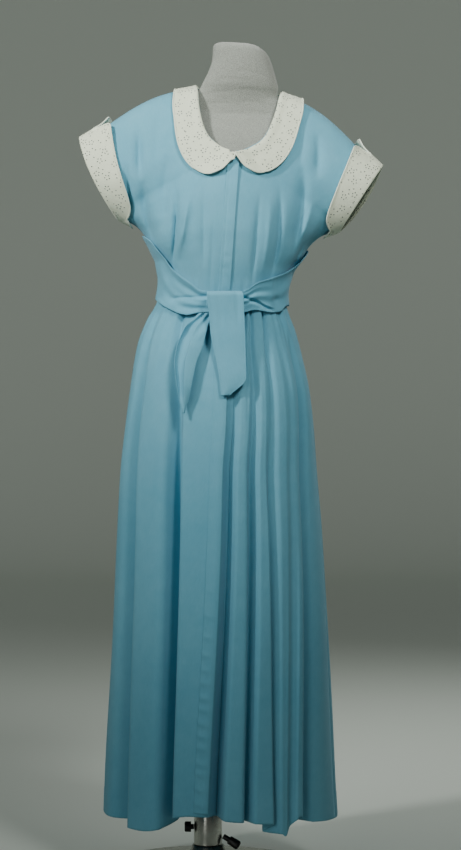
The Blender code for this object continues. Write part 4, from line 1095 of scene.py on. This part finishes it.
def make_bodice():
    """Two fronts and one back, each on its own fine grid from centre to sleeve end."""
    across = np.linspace(0, 1, 88)
    up = np.linspace(0, 1, 120)
    t, v = np.meshgrid(across, up)
    edge_gap = np.where(v > 0.995, 0.3, 0.2 * (t > 0.995))
    for name, hand in (("bodice_front_left", -1), ("bodice_front_right", 1)):
        points = bodice_cloth(t, v, hand, -1)
        lap = smooth_step((CENTRE_SEAM_TOP_V - v) / CENTRE_SEAM_FADE)
        points[..., 0] += (CENTRE_SEAM_X * lap + hand * 0.2) * (1 - t) ** 2
        points[..., 1] -= edge_gap
        blue_sheet(name, [(body_points(points), hand < 0)])
    halves = []
    for hand in (-1, 1):
        points = bodice_cloth(t, v, hand, 1)
        points[..., 1] += edge_gap
        halves.append((body_points(points), hand > 0))
    blue_sheet("bodice_back", halves)


# collar and cuffs


def collar_points(u, w, extra=0.0):
    """Collar point: u runs from front to front round the neck, w from neckline to outer edge."""
    hand = np.where(u < 0, -1.0, 1.0)
    size = np.abs(u)
    front_share = smooth_step((size - COLLAR_SHOULDER_U) / 0.4)
    x = COLLAR_LINE.at("inner_x", size) * (1 - w) + COLLAR_LINE.at("outer_x", size) * w
    z = COLLAR_LINE.at("inner_z", size) * (1 - w) + COLLAR_LINE.at("outer_z", size) * w
    x = hand * x + COLLAR_OFFSET_X
    z = z + hand * COLLAR_UNEVEN * front_share * w
    lift = COLLAR_LIFT + COLLAR_ROLL * w + COLLAR_OVER_PLACKET * smooth_step((size - 0.88) * 12)
    lift = lift + bells(w, COLLAR_STAND) + COLLAR_WAVE * np.sin(u * 17 + 1) * w + extra
    side = np.where(x < NECK_SHIFT * (1 - front_share), -1.0, 1.0)
    front = on_bodice(x, z, side, -1, lift)
    back = on_bodice(x, z, side, 1, lift)
    near = smooth_step((size - COLLAR_SHOULDER_U + 0.02) / 0.04)[..., None]
    return front * near + back * (1 - near)


def make_collar():
    """Round eyelet collar, rolled in at the neckline, with a bound edge and a row of stitches."""
    u, w = np.meshgrid(np.linspace(-1, 1, 301), np.linspace(0, 1, 15))
    flat = collar_points(u, w)
    inward = unit(flat[0] - flat[1])
    down = collar_points(u[:1], w[:1], -1.0)[0] - flat[0]
    rolled = [flat[0] + inward * step + down * drop for step, drop in COLLAR_ROLL_IN]
    points = body_points(np.concatenate((np.array(rolled), flat)))
    grids, piece = eyelet_sheet("collar", points, False)
    turn = np.linspace(-1, 1, COLLAR_TURNS)
    ends = np.linspace(0, 1, 8)[:-1]
    path_u = np.concatenate((np.full(7, -1.0), turn, np.full(7, 1.0)))
    path_w = np.concatenate((ends, np.ones(COLLAR_TURNS), ends[::-1]))
    path = body_points(collar_points(path_u[None], path_w[None]))[0]
    binding = strand("collar_binding", path, COLLAR_BINDING, WHITE_BINDING,
                     flat=0.75)
    level = np.full((1, COLLAR_TURNS), COLLAR_ROW_W)
    sewn = body_points(collar_points(turn[None], level, 0.15))[0]
    over = body_points(collar_points(turn[None], level, 1.15))[0]
    row = stitches("collar_stitches", [(sewn, over - sewn)], WHITE_BINDING)
    sheet_of(grids)


def from_notch(angle):
    """Angle from the cuff's notch, at most half a turn either way."""
    return (angle - NOTCH_ANGLE + math.pi) % (2 * math.pi) - math.pi


def cuff_edge(angle):
    """Share of the cuff's full width at each angle: round corners meet in a notch at the top."""
    near = np.clip(1 - np.abs(from_notch(angle)) / NOTCH_HALF_WIDTH, 0, 1)
    return 1 - CUFF_NOTCH_DEPTH * (1 - np.sqrt(1 - near ** 2))


def cuff_cloth(angle, w, hand):
    """Cuff point in metres: w runs from inside the sleeve, below nought, over the fold and out.

    Near the notch at the top the free edge stands away from the sleeve as two soft corners,
    the one at the back the higher.
    """
    out = np.clip(w, 0, 1) * cuff_edge(angle)
    under = smooth_step((1 - np.cos(angle)) * 2 - 3)
    corners = bells(from_notch(angle), CUFF_CORNERS) * np.clip(w, 0, 1) ** 1.5
    lift = CUFF_LIFT + (CUFF_FLARE + CUFF_UNDERARM_LIFT * under) * np.sqrt(out)
    lift = lift + corners + CUFF_WAVE * np.sin(angle * 5 + 2 * hand) * out
    over_fold = smooth_step((w + CUFF_FOLD_W) / CUFF_FOLD_W)
    inside = CUFF_FACING_LIFT + (CUFF_LIFT - CUFF_FACING_LIFT) * over_fold
    points = cuff_point(angle, np.where(w < 0, np.clip(-w - CUFF_FOLD_W, 0, 1), out), hand,
                        np.where(w < 0, inside, lift))
    fold = CUFF_FOLD_ROUND * np.sin(math.pi * np.clip((w + 0.14) / 0.18, 0, 1))
    axis = np.array([hand * math.cos(SLEEVE_TILT), 0.0, -math.sin(SLEEVE_TILT)])
    return body_points(points + axis * fold[..., None])


def make_cuffs():
    """Turned-back cuffs, faced inside the sleeve, with bound free edges and a row of stitches."""
    widths = np.concatenate((np.linspace(-0.7, -0.12, 6), np.linspace(-0.10, 0.04, 7),
                             np.linspace(0.1, 1, 13)))
    turn = full_turn(CUFF_TURNS)
    for name, hand in (("cuff_left", -1), ("cuff_right", 1)):
        angle, w = np.meshgrid(turn, widths)
        grids, piece = eyelet_sheet(name, cuff_cloth(angle, w, hand), hand > 0)
        edge = cuff_cloth(turn[None, :-1], np.ones((1, CUFF_TURNS - 1)), hand)[0]
        binding = strand(name + "_binding", edge, CUFF_BINDING, WHITE_BINDING,
                         closed=True, flat=0.8)
        sewn = cuff_cloth(turn[None], np.full((1, CUFF_TURNS), CUFF_ROW_W), hand)[0]
        out = unit(sewn - sewn.mean(axis=0))
        row = stitches(name + "_stitches", [(sewn + out * 0.2 * MM, out)], WHITE_BINDING)
        sheet_of(grids)


# skirt


def turned_by(angle, middle):
    """Degrees from the middle, at most half a turn either way."""
    return (angle - middle + 180.0) % 360.0 - 180.0


def skirt_cloth(u, drop):
    """Skirt point in metres, with small gathers that die out below the waist and a turned hem."""
    u, drop = np.broadcast_arrays(np.asarray(u, dtype=float), np.asarray(drop, dtype=float))
    angle = skirt_angle(u, drop)
    small = GATHER_HEIGHT * gathers(angle * 2.1) * bell(drop, GATHER_FADE) * smooth_step(drop * 40)
    for _, middle, half_width, depth, fade in GATHER_DIPS:
        turned = turned_by(angle, middle)
        small = small - GATHER_DEPTH * depth * bell(turned, half_width) * bell(drop, fade)
    for _, high, low, left_width, right_width, depth, start in LONG_VALLEYS:
        away = angle - high - (low - high) * drop
        width = np.where(away < 0, left_width, right_width)
        small = small - depth * bell(away, width) * smooth_step((drop - start) / VALLEY_FADE)
    hem = HEM_TURN_STEP * smooth_step((drop - HEM_TURN_DROP) * 500)
    slack = SKIRT_WAVE * np.sin(angle * 0.21 + 6 * drop) * np.sin(drop * 9 + angle * 0.05)
    x, y, z = skirt(u, drop, small + hem + slack * smooth_step(drop * 6))
    flap = bell(turned_by(angle, HEM_FLAP_ANGLE), HEM_FLAP_WIDTH)
    return upright(x, y, z + HEM_FLAP_RISE * flap * smooth_step((drop - 0.3) / 0.7))


def make_skirt():
    """Two front panels and the back panel, each on a fine grid from waist to hem."""
    drops = np.concatenate((np.linspace(0, 0.12, 26)[:-1], np.linspace(0.12, 0.94, 70)[:-1],
                            np.linspace(0.94, 1, 16)))
    spans = (("skirt_front_left", LEFT_SIDE_U, FRONT_SEAM_U, 74),
             ("skirt_front_right", FRONT_SEAM_U, RIGHT_SIDE_U, 126),
             ("skirt_back", RIGHT_SIDE_U, LEFT_SIDE_U + len(FOLDS), 224))
    for name, first, last, columns in spans:
        u, drop = np.meshgrid(np.linspace(first, last, columns), drops)
        turned_u = np.where(u >= len(FOLDS), u - len(FOLDS), u)
        blue_sheet(name, [(skirt_cloth(turned_u, drop), True)])


def make_plackets():
    """Fly fronts: flat where they are stitched down on the left, proud at the free right edge."""
    heights = np.linspace(PLACKET_LOW_Z - 9, PLACKET_HIGH_Z, 130)
    share, z = np.meshgrid(np.linspace(0, 1, 14), heights)
    x = PLACKET_LEFT + (PLACKET_RIGHT - PLACKET_LEFT) * share
    hand = np.where(x < 0, -1.0, 1.0)
    points = on_bodice(x, z, hand, -1, np.zeros(x.shape))
    above_waist = smooth_step((z - PLACKET_LOW_Z + 14) / 30)
    proud = PLACKET_SEWN_RISE + PLACKET_FREE_RISE * smooth_step(share * 1.2) * above_waist
    marks = bells(z, PLACKET_MARKS) + PLACKET_WAVE * np.sin(z / 9.0)
    marks = marks * np.sin(math.pi * share) * PLACKET_MARK_SHARE
    points[..., 1] = points[..., 1].min(axis=1, keepdims=True) - proud
    points[..., 1] += marks + bells(share, PLACKET_SEWN_LINE)
    grids = [(body_points(points), False)]
    blue_sheet("placket_bodice", grids)
    share, drop = np.meshgrid(np.linspace(0, 1, 16), np.linspace(0.04, 0.994, 260))
    u = SKIRT_PLACKET_U - (SKIRT_PLACKET_WIDTH + SKIRT_PLACKET_GROWTH * drop) * (1 - share)
    z = SKIRT_RING.at("z", drop)
    pucker = bells(z + PUCKER_TILT * (share - 0.5),
                   [(height, PUCKER_WIDTH, PUCKER_SIZE * (1 - height / PUCKER_TOP))
                    for height in PUCKER_HEIGHTS])
    lift = SKIRT_PLACKET_SEWN_RISE + SKIRT_PLACKET_RISE * smooth_step(share * 1.2)
    lift = lift + pucker * bells(share, PUCKER_PLACE)
    grids = [(upright(*skirt(u, drop, lift)), True)]
    blue_sheet("placket_skirt", grids)


# sash


def sash_lift(around, z, w):
    """How far the band stands off the waist.

    It has soft lengthwise folds drawn in towards the knot, a slit where its upper layer laps
    over a lower strip on the right, a lobe on the left, and hemmed edges.
    """
    bunch = bell(np.abs(around) - 14, 34)
    folds = 0.6 * SASH_RIDGE * np.cos(w * 4 * math.pi)
    folds = folds + SASH_BUNCH * bunch * np.cos(w * 7 * math.pi + around / 18)
    above_slit = z - through(around, *SLIT_LINE)
    slit = SASH_SLIT_STEP * smooth_step(above_slit / 1.5) + bells(above_slit, SASH_SLIT_EDGES)
    folds = folds + smooth_step((around - 8) / 6) * smooth_step((50 - around) / 10) * slit
    lobe = bells(z - through(around, *FOLD_LINE), SASH_LOBE)
    folds = folds + smooth_step((around + 52) / 14) * smooth_step((-9 - around) / 8) * lobe
    dimple = bell(around - SASH_DIMPLE[0], 5) * bell(z - SASH_DIMPLE[1], 6)
    drag = np.sin(around * 0.19 + 1.1 * w) * smooth_step((np.abs(around) - 40) / 20)
    hem = SASH_HEM_STEP * smooth_step((0.07 - np.minimum(w, 1 - w)) / 0.02)
    folds = folds - SASH_DIMPLE_DEPTH * dimple + SASH_DRAG * drag * w * (1 - w)
    return SASH_LINE.at("lift", around) + folds + hem


def knot_points(turn, row):
    """Knot point: the strip folded flat over itself, with an arched top and a slanting groove."""
    x = KNOT_HALF[0] * power_of(np.cos(row), 0.5) * power_of(np.cos(turn), 0.6)
    y = KNOT_HALF[1] * power_of(np.cos(row), 0.5) * power_of(np.sin(turn), 0.6)
    z = KNOT_HALF[2] * power_of(np.sin(row), 0.8)
    y = y + KNOT_GROOVE * bell(x * 0.55 + z - 4, 6) * smooth_step(-y / 5)
    z = z + KNOT_ARCH * np.cos(x / KNOT_HALF[0] * math.pi / 2) * smooth_step(z / 8)
    return lean(KNOT_CENTRE[0] + x, KNOT_CENTRE[1] + y, KNOT_CENTRE[2] + z)


def tail_right_rise(share, z):
    """Near face of the right end: lengthwise pulls below the knot and a turned point."""
    rise = smooth_step((z - 960) / 90) * bells(share, TAIL_PULLS)
    rise += smooth_step((z - 1010) / 70) * bells(share, TAIL_TUCK)
    rise += np.sin(share * 5 + z / 46)
    return rise + TAIL_HEM_STEP * smooth_step((0.05 - np.minimum(share, 1 - share)) / 0.02)


def tail_left_rise(share, z):
    """Near face of the left end, folded lengthwise.

    A front strip on the right stands proud, its left edge laps over a hollow, and the far edge
    of the strip comes forward again.
    """
    spread = smooth_step((1052 - z) / 30) * smooth_step((z - 884) / 50)
    front = smooth_step((share - 0.46) / 0.03)
    hollow = np.sin(math.pi * np.clip(share / 0.47, 0, 1)) ** 0.8
    rise = spread * (TAIL_STRIP_RISE * front - TAIL_HOLLOW_DEPTH * (1 - front) * hollow)
    gathered = smooth_step((z - 1000) / 50)
    rise += TAIL_GATHER * gathered * np.cos(share * 13 - (z - 1040) / 9)
    return rise + TAIL_EDGE_RISE * bell(share, 0.035)


def make_sash():
    """Band, knot and two ends of the tied sash, with stitches along the hemmed edges."""
    degrees = np.linspace(-180, 180, 361)
    around, w = np.meshgrid(degrees, np.linspace(0, 1, 57))

    def band(around, w, extra=0.0):
        low, high = SASH_LINE.at("low_z", around), SASH_LINE.at("high_z", around)
        z = low + (high - low) * w
        return lean(*waist_point(np.radians(around), z, sash_lift(around, z, w) + extra))

    grids = [(band(around, w), False)]
    piece = surface("sash_band_cloth", grids, BLUE_COTTON, CLOTH_WALL, ["sash_band"])
    rows = []
    for level in BAND_ROWS:
        line = np.full((1, 361), level)
        path = band(degrees[None], line, 0.2)[0]
        rows.append((path, band(degrees[None], line, 1.2)[0] - path))
    row = stitches("sash_band_stitches", rows, BLUE_THREAD)
    sheet_of(grids)
    rows = np.concatenate(([-math.pi / 2], np.linspace(-1.45, 1.45, 60), [math.pi / 2]))
    turn, row = np.meshgrid(full_turn(121), rows)
    surface("sash_knot_cloth", [(knot_points(turn, row), False)], BLUE_COTTON, 0.0,
            ["sash_knot"])
    for name, shape, rise in (("sash_tail_right", TAIL_RIGHT, tail_right_rise),
                              ("sash_tail_left", TAIL_LEFT, tail_left_rise)):
        def strip(step, share, extra=0.0):
            x = shape.at("left", step) * (1 - share) + shape.at("right", step) * share
            z = shape.at("z", step)
            bulge = TAIL_BULGE * np.sin(share * math.pi) * smooth_step((1060 - z) / 60)
            return upright(x, shape.at("near", step) - bulge - rise(share, z) - extra, z)

        steps = np.linspace(shape.along[0], shape.along[-1], TAIL_STEPS)
        step, share = np.meshgrid(steps, np.linspace(0, 1, 60), indexing="ij")
        grids = [(strip(step, share), True)]
        piece = surface(name + "_cloth", grids, BLUE_COTTON, CLOTH_WALL, [name])
        lines = [strip(steps, np.full(TAIL_STEPS, side), 0.2) for side in TAIL_ROWS]
        front = np.tile(TOWARDS_VIEWER, (TAIL_STEPS, 1))
        row = stitches(name + "_stitches", [(line, front) for line in lines], BLUE_THREAD)
        sheet_of(grids)


# dress form and stand


def jersey_creases(x, z):
    """Level creases in the jersey at the neck: bells across curves that sag towards one end."""
    height = np.zeros(np.broadcast(x, z).shape)
    for _, left, right, level, slope, sag, half_width, depth in JERSEY_CREASES:
        share = (x - left) / (right - left)
        line = level + slope * (x - left) - sag * (2 * share - 1) ** 2
        ends = smooth_step(share / 0.3) * smooth_step((1 - share) / 0.3)
        height += depth * ends * bell(z - line, half_width)
    return height


def make_form():
    """Limbless torso and neck as stacked rings, closed above and below, with faint neck creases."""
    heights = np.concatenate((np.linspace(800, 1440, 70)[:-1], np.linspace(1440, 1591, 60)))
    turn, z = np.meshgrid(full_turn(129), heights)
    power = 2 / FORM_RING.at("power", z)
    depth = np.where(np.sin(turn) > 0, FORM_RING.at("back", z), -FORM_RING.at("front", z))
    x = FORM_RING.at("half_width", z) * power_of(np.cos(turn), power)
    y = depth * power_of(np.sin(turn), power)
    crease = jersey_creases(x, z) * smooth_step(np.abs(np.sin(turn)) * 3)
    x = x + FORM_RING.at("shift", z) + crease * np.cos(turn)
    y = y + crease * np.sin(turn)
    middle = np.stack((FORM_RING.at("shift", z[0]) + 0 * x[0], 0 * x[0], z[0]), -1)
    top = np.stack((FORM_RING.at("shift", z[-1]) + 0 * x[-1], 0 * x[-1] + 6, z[-1] + 2.0), -1)
    rings = np.concatenate((middle[None], np.stack((x, y, z), -1), top[None]))
    surface("dress_form_jersey", [(body_points(rings), False)], JERSEY, 0.0,
            ["dress_form"])


def hard_piece(name, points, look, node):
    """Hard piece through one grid, with its edges kept sharp."""
    piece = surface(name, [(points, False)], look, 0.0, [node])
    piece.data.set_sharp_from_angle(angle=SHARP_ANGLE)


def turned_piece(name, profile, node, sides=96):
    """Steel piece turned about the upright axis from radius and height pairs, closed both ends."""
    profile = np.array([(0.0, profile[0][1])] + list(profile) + [(0.0, profile[-1][1])], float)
    turn = full_turn(sides + 1)
    points = upright(profile[:, :1] * np.cos(turn), profile[:, :1] * np.sin(turn),
                     np.repeat(profile[:, 1:], sides + 1, axis=1))
    hard_piece(name, points, STEEL, node)


def rod_piece(name, start, end, radii, node):
    """Black knob turned from start to end, with radii at given shares of its length."""
    start, end = np.array(start, float) * MM, np.array(end, float) * MM
    along = unit(end - start)
    side = unit(np.cross(along, (0.0, 1.0, 0.0)))
    other = np.cross(along, side)
    turn = full_turn(41)
    radii = np.array([(radii[0][0], 0)] + list(radii) + [(radii[-1][0], 0)], dtype=float)
    ring = np.cos(turn)[None, :, None] * side + np.sin(turn)[None, :, None] * other
    points = start + radii[:, :1, None] * (end - start) + radii[:, 1:, None] * MM * ring
    hard_piece(name, points, KNOB, node)


def make_stand():
    """Round foot with its collar, outer tube, post, socket under the form and two clamp knobs."""
    turned_piece("stand_foot", FOOT_PROFILE, "stand_base", 160)
    turned_piece("stand_outer_tube", TUBE_PROFILE, "stand_tube")
    turned_piece("stand_inner_post", POST_PROFILE, "stand_post")
    turn = full_turn(65)
    profile = np.array(SOCKET_PROFILE)
    points = lean(profile[:, :1] * np.cos(turn), profile[:, :1] * np.sin(turn),
                  np.repeat(profile[:, 1:], 65, axis=1))
    surface("form_socket_metal", [(points, False)], STEEL, 0.0, ["form_socket"])
    for name, start, end, radii in KNOBS:
        rod_piece(name + "_part", start, end, radii, name)


# studio


FLOOR_NEAR = -30.0
FLOOR_FAR = 8.0
SWEEP_RADIUS = 3.0
WALL_TOP = 8.0
SPOT_CONE = math.radians(62)
CAMERA_PLACE = (0.0434, -4.3, 0.854)
CAMERA_LENS = 94.4
# name, kind, place, point it faces, size, power, colour
LIGHTS = (
    ("key", "SPOT", (-1.5, -1.3, 2.4), (0.0, 0, 1.6), 0.14, 208, (0.98, 1.0, 0.96)),
    ("front", "SPOT", (0.75, -1.5, 2.45), (0.06, 0, 1.48), 0.25, 116, (0.98, 1.0, 0.96)),
    ("even", "SUN", (-2.0, -4.0, 2.4), (0, 0, 1.0), 0.5, 0.5, (0.97, 1.0, 0.97)),
    ("back", "AREA", (1.5, 2.4, 2.6), (0, 0, 1.1), 1.0, 26, (0.97, 1.0, 0.98)),
)


def make_studio():
    """Pale floor that sweeps up behind, soft lights and the camera at the photograph's place."""
    profile = [(FLOOR_NEAR, 0.0), (FLOOR_FAR, 0.0)]
    profile += [(FLOOR_FAR + SWEEP_RADIUS * math.sin(a), SWEEP_RADIUS - SWEEP_RADIUS * math.cos(a))
                for a in np.linspace(0, math.pi / 2, 24)[1:]]
    profile += [(FLOOR_FAR + SWEEP_RADIUS, WALL_TOP)]
    profile = np.array(profile)
    across = np.array([FLOOR_NEAR, -FLOOR_NEAR])
    points = np.stack(np.broadcast_arrays(across[None, :], profile[:, :1], profile[:, 1:]), -1)
    points = points.reshape(-1, 3)
    faces = [(2 * i, 2 * i + 1, 2 * i + 3, 2 * i + 2) for i in range(len(profile) - 1)]
    mesh = bpy.data.meshes.new("studio_floor")
    mesh.from_pydata(points.tolist(), [], faces)
    mesh.shade_smooth()
    floor = in_scene("studio_floor", mesh)
    paper = bpy.data.materials.new("pale paper")
    paper.use_nodes = True
    shader = paper.node_tree.nodes["Principled BSDF"]
    shader.inputs["Base Color"].default_value = linear(226, 234, 224)
    shader.inputs["Roughness"].default_value = 0.9
    mesh.materials.append(paper)

    def light(name, kind, place, aim, size, power, colour):
        data = bpy.data.lights.new(name, kind)
        if kind == "SPOT":
            data.shadow_soft_size = size
            data.spot_size = SPOT_CONE
            data.spot_blend = 1.0
        elif kind == "SUN":
            data.angle = size
        else:
            data.size = size
        data.energy = power
        data.color = colour
        lamp = in_scene(name, data)
        lamp.location = place
        back = np.array(place, float) - np.array(aim, float)
        lamp.rotation_euler = (math.atan2(math.hypot(back[0], back[1]), back[2]), 0,
                               math.atan2(back[0], -back[1]))

    for lamp in LIGHTS:
        light(*lamp)
    world = bpy.data.worlds.new("studio air")
    world.use_nodes = True
    air = world.node_tree.nodes["Background"]
    air.inputs["Color"].default_value = (0.78, 0.82, 0.80, 1.0)
    air.inputs["Strength"].default_value = 0.08
    bpy.context.scene.world = world
    lens = bpy.data.cameras.new("camera")
    lens.sensor_width = 36.0
    lens.lens = CAMERA_LENS
    camera = in_scene("camera", lens)
    camera.location = CAMERA_PLACE
    camera.rotation_euler = (math.pi / 2, 0.0, 0.0)
    bpy.context.scene.camera = camera


make_bodice()
make_collar()
make_cuffs()
make_skirt()
make_plackets()
make_sash()
make_form()
make_stand()
make_studio()
